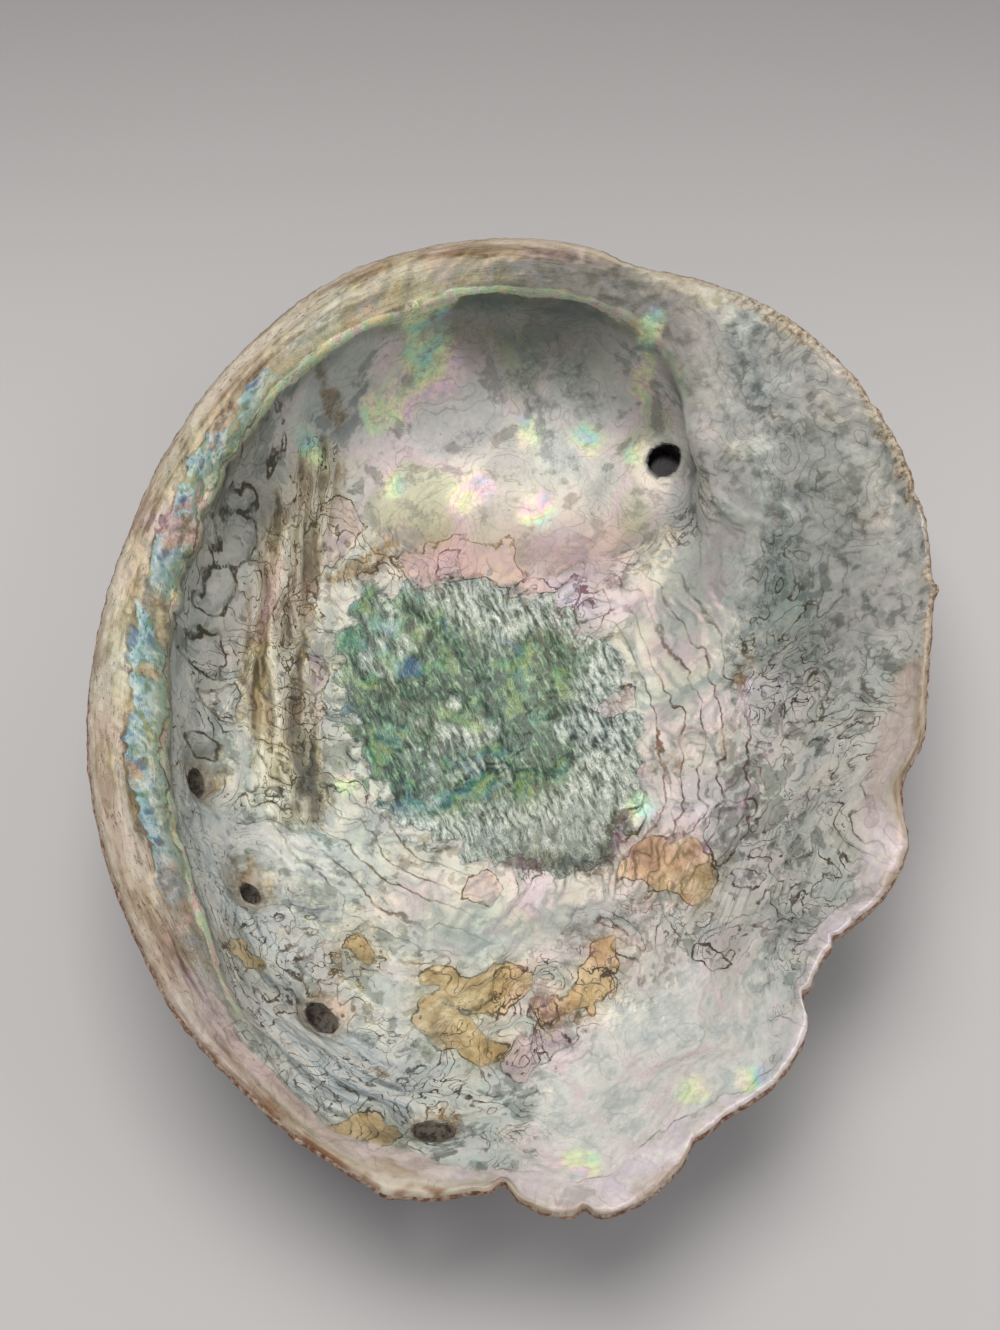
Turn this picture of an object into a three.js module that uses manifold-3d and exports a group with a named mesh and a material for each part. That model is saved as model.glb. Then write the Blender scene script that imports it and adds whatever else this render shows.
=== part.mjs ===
// Abalone shell lying on its back with the open side up, grown as one piece.
// Lengths are in millimetres and angles in degrees. The bowl opens towards +Z, +Y runs along the
// shell to its old end, where the spire is, and the row of pores follows the -X side.
import * as THREE from 'three';
import { mergeVertices } from 'three/addons/utils/BufferGeometryUtils.js';
import Module from 'manifold-3d';

// Driving dimensions
const BOWL_BOTTOM_HEIGHT = 6.2;
const LIP_ROUNDING = 1.2;
const LIP_DROP = 1.6;
const OUTLINE_MIDDLE = [2.12, 3];
const COLUMN_STEP_SMOOTH = 6;
const COLUMN_STEP_SCALLOPED = 2.5;
const SCALLOPED_FROM = 245;
const SCALLOPED_TO = 415;
const PORE_SIDES = 16;
const WEAR_SIZE = 300;
const WEAR_DEPTH = 20;

// The outermost line of the shell: angle round the middle of the bowl, distance from it, height.
// It is smooth along the ledge and scalloped along the thin growing lip.
const RIM = [
  [0, 79, 44], [12, 83.4, 45], [22, 88.5, 46], [32, 93.2, 47], [42, 96.8, 48.5],
  [52, 98.9, 50], [62, 99.8, 50], [69, 99, 50], [74, 97.9, 50.5], [80, 100, 51],
  [90, 101.2, 51], [100, 100.4, 51], [112, 97.6, 51], [125, 91.5, 51], [141, 84.7, 51],
  [159, 79.4, 51], [175, 78.3, 50], [190, 78.7, 50], [204, 80.1, 49.5], [216, 82.1, 48],
  [227, 85.2, 46], [238, 87.8, 44], [248, 91, 41.5], [260, 93.8, 40], [268, 91.6, 40],
  [275, 95.6, 39], [283, 95.6, 39], [288, 92, 39], [293, 87.9, 39], [302, 86.3, 40],
  [309, 82.6, 40], [314, 77.2, 40.5], [321, 75.8, 41], [329, 78.4, 42], [337, 78.7, 42],
  [345, 74.9, 43], [352, 77.7, 44],
];

// Small breaks in the lip: angle, half width in degrees, depth. A negative depth is a snag.
const BREAKS = [
  [269.2, 1, 2.2], [277.4, 0.8, 1.6], [290.6, 1.2, 1.2], [311.6, 1.1, 2.2], [320.4, 0.7, 1.2],
  [27.5, 0.8, 0.8], [14, 1.2, -1.2], [40, 1, 0.7], [257, 1.5, -0.8],
];

// Rings of the inside, from the middle of the bowl up to the lip.
const HEART = [[0, 20, 7.4], [90, 26, 7], [180, 22, 7.4], [270, 24, 7.2]];

const FLOOR = [
  [0, 38, 10.6], [30, 42, 10], [60, 54, 9.6], [90, 58, 11], [120, 52, 11.2], [150, 46, 10.8],
  [180, 43, 11.2], [210, 43, 11], [240, 46, 11], [270, 46, 10], [300, 42, 9.6], [330, 36, 9.6],
];

const FOOT = [
  [0, 50.5, 16], [15, 53, 15.5], [30, 55.5, 15.5], [45, 58.5, 16], [53, 66, 14.5], [60, 77, 12.5],
  [66, 82.5, 12.5], [75, 83, 15], [90, 83, 19], [105, 80, 20], [120, 75, 20], [150, 65.5, 19],
  [180, 60, 18], [205, 60, 17.5], [220, 61.5, 18], [235, 65, 18.5], [250, 67.5, 17],
  [270, 66, 15.5], [290, 61.5, 14.5], [315, 51, 13.5], [345, 49, 15],
];

const WALL = [
  [0, 58.5, 22.5], [12, 61.5, 22.5], [30, 64.5, 23], [45, 65.5, 24.5], [53, 68, 25.5],
  [58, 76.5, 24.5], [63, 83.5, 25.5], [74, 89, 31], [90, 90.8, 35], [105, 87, 36],
  [120, 81.7, 36], [150, 71.5, 35], [180, 66, 33.5], [205, 67.5, 32.5], [220, 69.5, 31.5],
  [235, 74, 29.5], [250, 76.5, 26.5], [270, 75, 22.5], [280, 75, 21.5], [292, 69.5, 21],
  [303, 66, 20.5], [315, 58.5, 20], [330, 58.5, 21], [345, 57.5, 22],
];

// Inner edge of the broad flat ledge, which overhangs the wall from 62 to 220 degrees.
const LEDGE_EDGE = [
  [0, 63, 29], [12, 67, 29.3], [30, 70.5, 30], [45, 71.5, 31], [54, 72.5, 32.5],
  [58, 74, 34.5], [62, 79, 37.5], [67, 85.3, 40.5], [74, 89.2, 43.2], [90, 90.8, 46.3],
  [104, 86.9, 47.8], [120, 82, 48], [134, 76, 48], [150, 70, 48], [165, 66, 47],
  [180, 64.4, 46.8], [195, 65.4, 46], [207, 67.2, 45.6], [220, 71, 44], [229, 76.5, 41],
  [240, 81.5, 36.8], [252, 82.5, 32.5], [270, 80.5, 28.3], [280, 81, 27.8], [292, 75.5, 27.5],
  [303, 72, 27.3], [315, 63.5, 27], [330, 64, 28], [345, 62.5, 29],
];

const LEDGE_TOP = [
  [0, 68.5, 35], [12, 72.5, 35.5], [30, 78.5, 37], [45, 81, 38.5], [54, 82.5, 40],
  [62, 87, 44], [74, 92.3, 47], [90, 94, 48.3], [105, 90, 49], [120, 85.5, 49.2],
  [150, 73.5, 49.2], [180, 68.8, 48.4], [205, 71, 47.6], [220, 74.5, 45.4], [235, 80.5, 40.5],
  [250, 85, 35.8], [270, 85, 32.8], [280, 86.5, 32.3], [292, 79, 31.5], [303, 76.5, 31.5],
  [315, 68, 32], [330, 68.5, 33.5], [345, 67, 34.5],
];

const INNER_LIP = [
  [0, 75.5, 41], [12, 79, 41.5], [30, 87.5, 43], [45, 91, 45.5], [54, 92.5, 47],
  [62, 94, 48.5], [74, 95, 49.6], [90, 97, 50.2], [105, 95, 50.4], [120, 89, 50.3],
  [150, 77.5, 50.3], [180, 73.5, 49.8], [205, 75.5, 49], [220, 78, 46.5], [235, 83, 42.5],
  [250, 88, 39], [270, 88.8, 36.8], [280, 91, 36.5], [292, 83.5, 35.8], [303, 82, 36.3],
  [315, 72.5, 36.8], [330, 73, 38.5], [345, 71, 39.5],
];

// Rings of the back, from under the lip down to where the belly turns flat.
const OUTER_LIP = [
  [0, 76.5, 38.5], [30, 90.5, 41.5], [52, 97, 44], [75, 96.8, 45], [90, 99.8, 45],
  [120, 92.6, 45], [150, 80.8, 45], [180, 77.2, 44], [205, 79.2, 43.5], [227, 83.6, 40.5],
  [248, 88.4, 36], [260, 91, 34.8], [268, 89, 34.5], [279, 93, 33.8], [293, 85.5, 33.6],
  [302, 83.5, 34.5], [314, 75, 35], [329, 75.5, 36.5], [345, 72.3, 37.5],
];

const FLANK = [
  [0, 66.5, 22], [15, 71, 22.5], [30, 76, 23.5], [45, 81, 25], [60, 91.5, 26], [75, 95, 29],
  [90, 96.3, 30], [120, 88.5, 30], [150, 77.3, 29], [180, 73.3, 28.5], [205, 74.5, 27.5],
  [227, 77, 26], [248, 80.5, 22.5], [270, 80, 19.5], [285, 79, 18.8], [300, 73, 18.5],
  [315, 65.5, 18.5], [330, 65.5, 19.5], [345, 65, 21],
];

const SHOULDER = [
  [0, 56, 11.5], [15, 59, 11.2], [30, 64, 11], [45, 73, 10], [60, 85, 8.5], [75, 87, 11],
  [90, 85.5, 13.8], [120, 78, 14.2], [150, 68.5, 13.6], [180, 64, 13], [210, 63.5, 12.6],
  [235, 66.5, 13], [250, 68.5, 12], [270, 68, 10.8], [290, 63.5, 10], [315, 53.5, 9.6],
  [345, 53, 10.8],
];

// Old lip lines close in on the spire, whose place in plan all growth starts from. Each line is
// the shoulder ring drawn smaller, with its own heights. Those under zero are worn away flat.
const SPIRE = [35, 71];
const SPIRE_HEIGHT = 1.8;
const OLD_LIPS = [
  {
    share: 0.72,
    heights: [
      [0, 7.8], [30, 8], [45, 7.5], [60, 6.2], [75, 7.4], [90, 9], [120, 7.6], [150, 4.2],
      [180, 2.4], [210, 1.8], [235, 2], [270, 2.2], [290, 3], [315, 4.8], [345, 6.8],
    ],
  },
  {
    share: 0.45,
    heights: [
      [0, 6.2], [30, 6.4], [45, 6], [60, 5], [75, 5.2], [90, 6.2], [120, 5.4], [150, 2.2],
      [180, 0.8], [210, -0.4], [235, -0.4], [270, 1.1], [290, 2.3], [315, 3.4], [345, 5],
    ],
  },
  {
    share: 0.2,
    heights: [
      [0, 4.6], [45, 4.4], [75, 4], [90, 4], [120, 3.8], [150, 3.4], [180, 2.8], [210, 2.4],
      [235, 2.4], [270, 3], [315, 3.8],
    ],
  },
];

// Stations run along a section in millimetres: up the inside, over the lip and down the back.
const LIP_STATION = 106.5;
const RIM_STATION = 108.8;
const SHOULDER_STATION = 150;
const SPIRE_STATION = 220;
const INSIDE_STATIONS = [11.5, 23, 30, 38, 46, 52, 59, 66, 71, 76, 81, 84.5, 88, 92, 95, 98, 101, 103];
const UNDER_LIP_STATIONS = [111, 113];
const SPARSE_INSIDE_UP_TO = 30;
const SPARSE_BACK_FROM = 196;

// Growth ledges: the stations of old lips that still stand up from the back.
const GROWTH_LEDGES = [118, 125, 133, 142, 151, 161, 172, 184, 196, 207];
const LEDGE_STEP = 1.1;
const LEDGE_DROP = 1.2;
const LEDGE_RUN = 11;

// Pores, as angle, station and radius. The old ones are sealed and show as dimples.
const OPEN_PORES = [[188.5, 68.5, 2.3], [211, 63, 1.9], [238, 65, 2.9], [260, 86, 3]];
const SEALED_PORES = [[139, 78], [145, 73], [154, 73], [163, 71], [173, 68]];
const WORN_PORES = [[118, 78], [98, 76], [82, 72]];
const PORE_STRETCH = 1.25;
const PORE_FUNNEL_DEPTH = 1.6;
const PORE_FUNNEL_REACH = 5.5;
const SEAL_DEPTH = 1.3;
const SEAL_REACH = 4.5;
const TUBE_RISE = 3;
const TUBE_WALL = 1.7;
const TUBE_ROOT = 4;
const KNOB_RISE = 1.6;
const KNOB_REACH = 5;
const PORE_ROW_RISE = 1.2;
const PORE_ROW_REACH = 7;
const SEARCH_ANGLE = 12;

// The deep dark pit that runs into the spire.
const PIT_MOUTH = [34, 69, 17];
const PIT_AXIS = [0.12, 0.2, -0.97];
const PIT_RADIUS = 3.9;
const PIT_END_RADIUS = 2.8;
const PIT_DEPTH = 10;

// Low forms of the inside, as paths of angle and station with their reach and rise.
const FIBRE_RIDGE = [[124, 68], [133, 62], [144, 58], [156, 55], [170, 51], [184, 49], [193, 48]];
const FIBRE_RIDGE_REACH = 4;
const FIBRE_RIDGE_RISE = 1.4;
const FURROW = [[245, 41], [260, 35], [277, 33], [302, 38], [320, 50], [331, 61]];
const FURROW_REACH = 5;
const FURROW_DEPTH = 0.9;
const SPIRE_FOLD = [[57, 92], [55, 74], [57, 56], [61, 43]];
const SPIRE_FOLD_REACH = 3.5;
const SPIRE_FOLD_RISE = 0.8;

// The scar of the big muscle, a low plateau in the middle of the bowl.
const SCAR = [
  [133, 46], [121, 41], [102, 35], [80, 32], [54, 31], [32, 31], [358, 32], [340, 34],
  [307, 32], [285, 23], [249, 22], [223, 25], [195, 30], [166, 36], [147, 43],
];
const SCAR_RISE = 0.7;
const SCAR_EDGE = 5;

// Folds behind the scallops of the lip. They fade with the distance along a section from it.
const FOLD_COUNT = 13;
const FOLD_RISE = 0.8;
const FOLD_MIDDLE = 315;
const FOLD_SPREAD = 45;
const FOLD_FADE = [6, 36];
const BARE_LIP = [2, 10];

const wasm = await Module();
wasm.setup();

function radians(angle) {
  return THREE.MathUtils.degToRad(angle);
}

function hill(distance, reach) {
  return Math.exp(-((distance / reach) ** 2));
}

function turnBetween(angle, other) {
  return THREE.MathUtils.euclideanModulo(angle - other + 180, 360) - 180;
}

// Smooth curve from the second to the third of four neighbouring values.
function curveThrough(places, values, place) {
  const [before, start, end, after] = places;
  const slope = (i) => (values[i + 1] - values[i]) / (places[i + 1] - places[i]);
  const startSlope = (slope(0) * (end - start) + slope(1) * (start - before)) / (end - before);
  const endSlope = (slope(1) * (after - end) + slope(2) * (end - start)) / (after - start);
  const t = (place - start) / (end - start);
  const kept = 2 * t ** 3 - 3 * t ** 2 + 1;
  const leaving = (t ** 3 - 2 * t ** 2 + t) * (end - start) * startSlope;
  const arriving = (t ** 3 - t ** 2) * (end - start) * endSlope;
  return kept * values[1] + leaving + (1 - kept) * values[2] + arriving;
}

// Value of a closed ring of knots at an angle. The field is a place in the knot.
function ringValue(knots, angle, field) {
  const count = knots.length;
  const turned = THREE.MathUtils.euclideanModulo(angle - knots[0][0], 360) + knots[0][0];
  const next = knots.findIndex((knot) => knot[0] > turned);
  const first = (next < 0 ? count : next) - 2;
  const near = [0, 1, 2, 3].map((step) => {
    const place = first + step;
    const turns = Math.floor(place / count);
    const knot = knots[place - turns * count];
    return { angle: knot[0] + 360 * turns, value: knot[field] };
  });
  return curveThrough(near.map((knot) => knot.angle), near.map((knot) => knot.value), turned);
}

function polarPoint(angle, distance, height) {
  return new THREE.Vector3(distance * Math.cos(radians(angle)), distance * Math.sin(radians(angle)), height);
}

function onRing(knots) {
  return (angle) => polarPoint(angle, ringValue(knots, angle, 1), ringValue(knots, angle, 2));
}

function rimDistance(angle) {
  const lost = BREAKS.map(([at, width, depth]) => depth * hill(turnBetween(angle, at), width));
  return ringValue(RIM, angle, 1) - lost.reduce((sum, depth) => sum + depth, 0);
}

function lipCrest(angle) {
  return polarPoint(angle, rimDistance(angle) - LIP_ROUNDING, ringValue(RIM, angle, 2));
}

function outermost(angle) {
  return polarPoint(angle, rimDistance(angle), ringValue(RIM, angle, 2) - LIP_DROP);
}

function oldLip({ share, heights }) {
  const shoulder = onRing(SHOULDER);
  return (angle) => {
    const point = shoulder(angle);
    const x = THREE.MathUtils.lerp(SPIRE[0], point.x, share);
    const y = THREE.MathUtils.lerp(SPIRE[1], point.y, share);
    return new THREE.Vector3(x, y, ringValue(heights, angle, 1));
  };
}

function stationOfShare(share) {
  return THREE.MathUtils.lerp(SPIRE_STATION, SHOULDER_STATION, share);
}

// Every section passes these places. Past each pole it runs on into the opposite section.
const bowlBottom = () => new THREE.Vector3(0, 0, BOWL_BOTTOM_HEIGHT);
const spireTip = () => new THREE.Vector3(SPIRE[0], SPIRE[1], SPIRE_HEIGHT);
const lastLip = OLD_LIPS[OLD_LIPS.length - 1];
const SECTION = [
  [-23, (angle) => onRing(HEART)(angle + 180)],
  [0, bowlBottom],
  [23, onRing(HEART)],
  [46, onRing(FLOOR)],
  [66, onRing(FOOT)],
  [81, onRing(WALL)],
  [92, onRing(LEDGE_EDGE)],
  [98, onRing(LEDGE_TOP)],
  [103, onRing(INNER_LIP)],
  [LIP_STATION, lipCrest],
  [RIM_STATION, outermost],
  [113, onRing(OUTER_LIP)],
  [130, onRing(FLANK)],
  [SHOULDER_STATION, onRing(SHOULDER)],
  ...OLD_LIPS.map((lip) => [stationOfShare(lip.share), oldLip(lip)]),
  [SPIRE_STATION, spireTip],
  [stationOfShare(-lastLip.share), (angle) => oldLip(lastLip)(angle + 180)],
];

function smoothSurface(angle, station) {
  const after = SECTION.findIndex(([place]) => place > station);
  const near = SECTION.slice(after - 2, after + 2);
  const places = near.map(([place]) => place);
  const points = near.map(([, pointAt]) => pointAt(angle));
  const along = (axis) => curveThrough(places, points.map((point) => point[axis]), station);
  return new THREE.Vector3(along('x'), along('y'), along('z'));
}

// Direction out of the solid.
function outward(angle, station) {
  const nudge = 0.5;
  const here = smoothSurface(angle, station);
  const round = smoothSurface(angle + nudge, station).sub(here);
  const onward = smoothSurface(angle, station + nudge).sub(here);
  return onward.cross(round).normalize();
}

// Each low form is a function of a point of the inside or of the back.
function rounded(centres, reach, rise) {
  const points = centres.map(([angle, station]) => smoothSurface(angle, station));
  return (point) => rise * Math.max(...points.map((centre) => hill(point.distanceTo(centre), reach)));
}

function ridgeThrough(points, reach, rise) {
  const spans = points.slice(1).map((end, i) => new THREE.Line3(points[i], end));
  return (point) => {
    const nearest = spans.map((span) => {
      return span.closestPointToPoint(point, true, new THREE.Vector3()).distanceTo(point);
    });
    return rise * hill(Math.min(...nearest), reach);
  };
}

function ridge(path, reach, rise) {
  return ridgeThrough(path.map(([angle, station]) => smoothSurface(angle, station)), reach, rise);
}

function plateau(outline, edge, rise) {
  const corners = outline.map(([angle, station]) => smoothSurface(angle, station));
  const middle = corners.reduce((sum, corner) => sum.add(corner), new THREE.Vector3());
  middle.divideScalar(corners.length);
  return (point) => {
    const spread = corners.map((corner) => {
      const across = new THREE.Vector2(corner.x - middle.x, corner.y - middle.y);
      const reach = across.length();
      return new THREE.Vector2(point.x - middle.x, point.y - middle.y).dot(across) / reach - reach;
    });
    return rise * THREE.MathUtils.smoothstep(-Math.max(...spread) / edge, -0.5, 0.5);
  };
}

const insideForms = [
  rounded(OPEN_PORES, PORE_FUNNEL_REACH, -PORE_FUNNEL_DEPTH),
  rounded(SEALED_PORES, SEAL_REACH, -SEAL_DEPTH),
  ridge(FIBRE_RIDGE, FIBRE_RIDGE_REACH, FIBRE_RIDGE_RISE),
  ridge(FURROW, FURROW_REACH, -FURROW_DEPTH),
  ridge(SPIRE_FOLD, SPIRE_FOLD_REACH, SPIRE_FOLD_RISE),
  plateau(SCAR, SCAR_EDGE, SCAR_RISE),
];

// Folds that run in from the scallops of the lip on both sides and die out down the wall.
function lipFolds(angle, station) {
  const along = hill(turnBetween(angle, FOLD_MIDDLE), FOLD_SPREAD);
  const up = 1 - THREE.MathUtils.smoothstep(Math.abs(station - LIP_STATION), ...FOLD_FADE);
  return FOLD_RISE * along * up * Math.sin(radians(FOLD_COUNT * angle));
}

// Each old lip stands proud and drops to the newer shell that grew out under it. It is lower
// where the lines crowd together beside the spire.
function growthLedges(angle, station) {
  const since = GROWTH_LEDGES.map((line) => station - line).filter((gap) => gap >= 0);
  const nearest = Math.min(...since, LEDGE_RUN);
  const room = smoothSurface(angle, station + 1).distanceTo(smoothSurface(angle, station));
  return LEDGE_STEP * Math.min(room, 1) * (1 - nearest / LEDGE_RUN);
}

// Where a pore's axis meets the back.
function throughToBack(angle, station) {
  const start = smoothSurface(angle, station);
  const axis = outward(angle, station).negate();
  let best = start;
  let miss = Infinity;
  for (let back = UNDER_LIP_STATIONS[0]; back < SPARSE_BACK_FROM; back += 1) {
    for (let turn = -SEARCH_ANGLE; turn <= SEARCH_ANGLE; turn += 1) {
      const point = smoothSurface(angle + turn, back);
      const reach = point.clone().sub(start);
      const aside = reach.clone().addScaledVector(axis, -reach.dot(axis)).length();
      if (aside < miss) {
        miss = aside;
        best = point;
      }
    }
  }
  return { start, axis, end: best };
}

function onBack([angle, station]) {
  return throughToBack(angle, station).end;
}

const wornKnobs = [...SEALED_PORES, ...WORN_PORES].map(onBack);
const poreRow = [...WORN_PORES].reverse().concat(SEALED_PORES, OPEN_PORES).map(onBack);
const poreRowRidge = ridgeThrough(poreRow, PORE_ROW_REACH, PORE_ROW_RISE);

function backForm(point) {
  const knobs = wornKnobs.map((centre) => hill(point.distanceTo(centre), KNOB_REACH));
  return poreRowRidge(point) + KNOB_RISE * Math.max(...knobs);
}

function insideForm(point) {
  return insideForms.reduce((sum, form) => sum + form(point), 0);
}

function surfacePoint(angle, station) {
  const point = smoothSurface(angle, station);
  const folds = lipFolds(angle, station);
  const inside = station < LIP_STATION;
  const rise = inside ? insideForm(point) + folds : backForm(point) + growthLedges(angle, station) - folds;
  const offLip = THREE.MathUtils.smoothstep(Math.abs(station - LIP_STATION), ...BARE_LIP);
  return point.addScaledVector(outward(angle, station), rise * offLip);
}

// Angles of the columns: close together where the lip is scalloped.
function columnAngles() {
  const angles = [];
  for (let angle = SCALLOPED_FROM; angle < SCALLOPED_TO; angle += COLUMN_STEP_SCALLOPED) {
    angles.push(angle);
  }
  for (let angle = SCALLOPED_TO; angle < SCALLOPED_FROM + 360; angle += COLUMN_STEP_SMOOTH) {
    angles.push(angle);
  }
  return angles;
}

// Stations of the rows down the back: the foot and the crest of each ledge.
function backStations() {
  const ledges = GROWTH_LEDGES.flatMap((line) => [line - LEDGE_DROP, line]);
  return [...UNDER_LIP_STATIONS, ...ledges];
}

// Rows of vertices from the middle of the bowl to the spire, with fewer near each end.
function surfaceRows() {
  const every = columnAngles();
  const sparse = every.filter((angle, i) => i % 2 === 0);
  const rows = [{ angles: [SCALLOPED_FROM], point: bowlBottom }];
  for (const station of [...INSIDE_STATIONS, LIP_STATION, RIM_STATION, ...backStations()]) {
    const few = station < SPARSE_INSIDE_UP_TO || station > SPARSE_BACK_FROM;
    rows.push({ angles: few ? sparse : every, point: (angle) => surfacePoint(angle, station) });
  }
  rows.push({ angles: [SCALLOPED_FROM], point: spireTip });
  return rows;
}

// Triangles between two neighbouring rows, taking the next vertex from whichever row lags.
function weave(row, next, triangles) {
  const turn = (ring, i) => (i < ring.angles.length ? ring.angles[i] : ring.angles[0] + 360);
  const vertex = (ring, i) => ring.first + (i % ring.angles.length);
  const rowSteps = row.angles.length > 1 ? row.angles.length : 0;
  const nextSteps = next.angles.length > 1 ? next.angles.length : 0;
  let i = 0;
  let j = 0;
  while (i < rowSteps || j < nextSteps) {
    const fromRow = j >= nextSteps || (i < rowSteps && turn(row, i + 1) <= turn(next, j + 1));
    triangles.push(vertex(row, i), vertex(next, j));
    if (fromRow) {
      i += 1;
      triangles.push(vertex(row, i));
    } else {
      j += 1;
      triangles.push(vertex(next, j));
    }
  }
}

function shellGeometry() {
  const rows = surfaceRows();
  const positions = [];
  for (const row of rows) {
    row.first = positions.length / 3;
    row.angles.forEach((angle) => positions.push(...row.point(angle).toArray()));
  }
  const triangles = [];
  rows.slice(1).forEach((next, i) => weave(rows[i], next, triangles));
  const geometry = new THREE.BufferGeometry();
  geometry.setAttribute('position', new THREE.Float32BufferAttribute(positions, 3));
  geometry.setIndex(triangles);
  return geometry;
}

function toSolid(geometry) {
  const bare = geometry.clone();
  bare.deleteAttribute('normal');
  bare.deleteAttribute('uv');
  const merged = mergeVertices(bare);
  const vertProperties = new Float32Array(merged.getAttribute('position').array);
  const triVerts = new Uint32Array(merged.getIndex().array);
  return new wasm.Manifold(new wasm.Mesh({ numProp: 3, vertProperties, triVerts }));
}

function toGeometry(solid) {
  const mesh = solid.getMesh();
  const geometry = new THREE.BufferGeometry();
  geometry.setAttribute('position', new THREE.BufferAttribute(mesh.vertProperties, 3));
  geometry.setIndex(new THREE.BufferAttribute(mesh.triVerts, 1));
  return geometry;
}

// A round peg from one point to another, wider along the row of pores than across it.
function peg(start, end, startRadius, endRadius, stretch = 1) {
  const axis = end.clone().sub(start);
  const geometry = new THREE.CylinderGeometry(endRadius, startRadius, axis.length(), PORE_SIDES);
  geometry.scale(stretch, 1, 1);
  const turn = new THREE.Quaternion();
  turn.setFromUnitVectors(new THREE.Vector3(0, 1, 0), axis.clone().normalize());
  geometry.applyQuaternion(turn);
  geometry.translate(...start.clone().add(end).multiplyScalar(0.5).toArray());
  return geometry;
}

// A pore opens through the wall into a short raised tube on the back.
function withPore(solid, [angle, station, radius]) {
  const { start, axis, end } = throughToBack(angle, station);
  const root = end.clone().addScaledVector(axis, -TUBE_ROOT / 2);
  const mouth = end.clone().addScaledVector(axis, TUBE_RISE);
  const tube = peg(root, mouth, radius + TUBE_ROOT, radius + TUBE_WALL, PORE_STRETCH);
  const above = start.clone().addScaledVector(axis, -TUBE_ROOT);
  const below = mouth.clone().addScaledVector(axis, TUBE_ROOT);
  const bore = peg(above, below, radius, radius, PORE_STRETCH);
  return solid.add(toSolid(tube)).subtract(toSolid(bore));
}

function spirePit() {
  const start = new THREE.Vector3(...PIT_MOUTH);
  const end = start.clone().addScaledVector(new THREE.Vector3(...PIT_AXIS).normalize(), PIT_DEPTH);
  return peg(start, end, PIT_RADIUS, PIT_END_RADIUS);
}

// What lies under zero height is worn away, which leaves the flat that the shell rests on.
function wornAway() {
  const slab = new THREE.BoxGeometry(WEAR_SIZE, WEAR_SIZE, WEAR_DEPTH);
  slab.translate(0, 0, -WEAR_DEPTH / 2);
  return slab;
}

function abaloneShell() {
  const whole = OPEN_PORES.reduce(withPore, toSolid(shellGeometry()));
  const geometry = toGeometry(whole.subtract(toSolid(spirePit())).subtract(toSolid(wornAway())));
  geometry.computeVertexNormals();
  const pearl = new THREE.MeshStandardMaterial({ color: 0xc3c6bd, roughness: 0.35, metalness: 0 });
  const shell = new THREE.Mesh(geometry, pearl);
  shell.name = 'shell';
  shell.position.set(-OUTLINE_MIDDLE[0], -OUTLINE_MIDDLE[1], 0);
  return shell;
}

const group = new THREE.Group();
group.add(abaloneShell());

export default group;
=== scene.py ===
import math

import bpy
import numpy as np
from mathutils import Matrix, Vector


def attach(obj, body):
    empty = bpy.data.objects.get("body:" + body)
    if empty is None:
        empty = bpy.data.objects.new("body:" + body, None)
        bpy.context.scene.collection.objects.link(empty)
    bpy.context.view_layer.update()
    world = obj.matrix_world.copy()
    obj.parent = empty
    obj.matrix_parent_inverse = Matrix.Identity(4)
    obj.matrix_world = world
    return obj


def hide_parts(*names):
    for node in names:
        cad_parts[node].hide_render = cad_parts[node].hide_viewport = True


MM = 0.001
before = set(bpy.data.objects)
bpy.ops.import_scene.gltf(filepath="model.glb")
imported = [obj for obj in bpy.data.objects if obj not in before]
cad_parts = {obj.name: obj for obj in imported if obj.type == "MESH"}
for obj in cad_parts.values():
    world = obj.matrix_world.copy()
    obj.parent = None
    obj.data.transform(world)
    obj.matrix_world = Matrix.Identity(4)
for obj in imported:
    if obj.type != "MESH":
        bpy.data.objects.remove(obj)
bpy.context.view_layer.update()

# The shell's wall: one thick curved wall, pearly inside, grown at its lip all the animal's life.
# It is laid out as rings of angle, distance and height round the bowl's middle, joined by smooth
# sections that run up the inside, over the lip and down the back to the spire.
RIM = [[0, 79, 44], [12, 83.4, 45], [22, 88.5, 46], [32, 93.2, 47], [42, 96.8, 48.5],
       [52, 98.9, 50], [62, 99.8, 50], [69, 99, 50], [74, 97.9, 50.5], [80, 100, 51],
       [90, 101.2, 51], [100, 100.4, 51], [112, 97.6, 51], [125, 91.5, 51], [141, 84.7, 51],
       [159, 79.4, 51], [175, 78.3, 50], [190, 78.7, 50], [204, 80.1, 49.5], [216, 82.1, 48],
       [227, 85.2, 46], [238, 87.8, 44], [248, 91, 41.5], [260, 93.8, 40], [268, 91.6, 40],
       [275, 95.6, 39], [283, 95.6, 39], [288, 92, 39], [293, 87.9, 39], [302, 86.3, 40],
       [309, 82.6, 40], [314, 77.2, 40.5], [321, 75.8, 41], [329, 78.4, 42], [337, 78.7, 42],
       [345, 74.9, 43], [352, 77.7, 44]]
BREAKS = [[269.2, 1, 2.2], [277.4, 0.8, 1.6], [290.6, 1.2, 1.2], [311.6, 1.1, 2.2],
          [320.4, 0.7, 1.2], [27.5, 0.8, 0.8], [14, 1.2, -1.2], [40, 1, 0.7], [257, 1.5, -0.8]]
HEART = [[0, 20, 7.4], [90, 26, 7], [180, 22, 7.4], [270, 24, 7.2]]
FLOOR = [[0, 38, 10.6], [30, 42, 10], [60, 54, 9.6], [90, 58, 11], [120, 52, 11.2], [150, 46, 10.8],
         [180, 43, 11.2], [210, 43, 11], [240, 46, 11], [270, 46, 10], [300, 42, 9.6],
         [330, 36, 9.6]]
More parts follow.
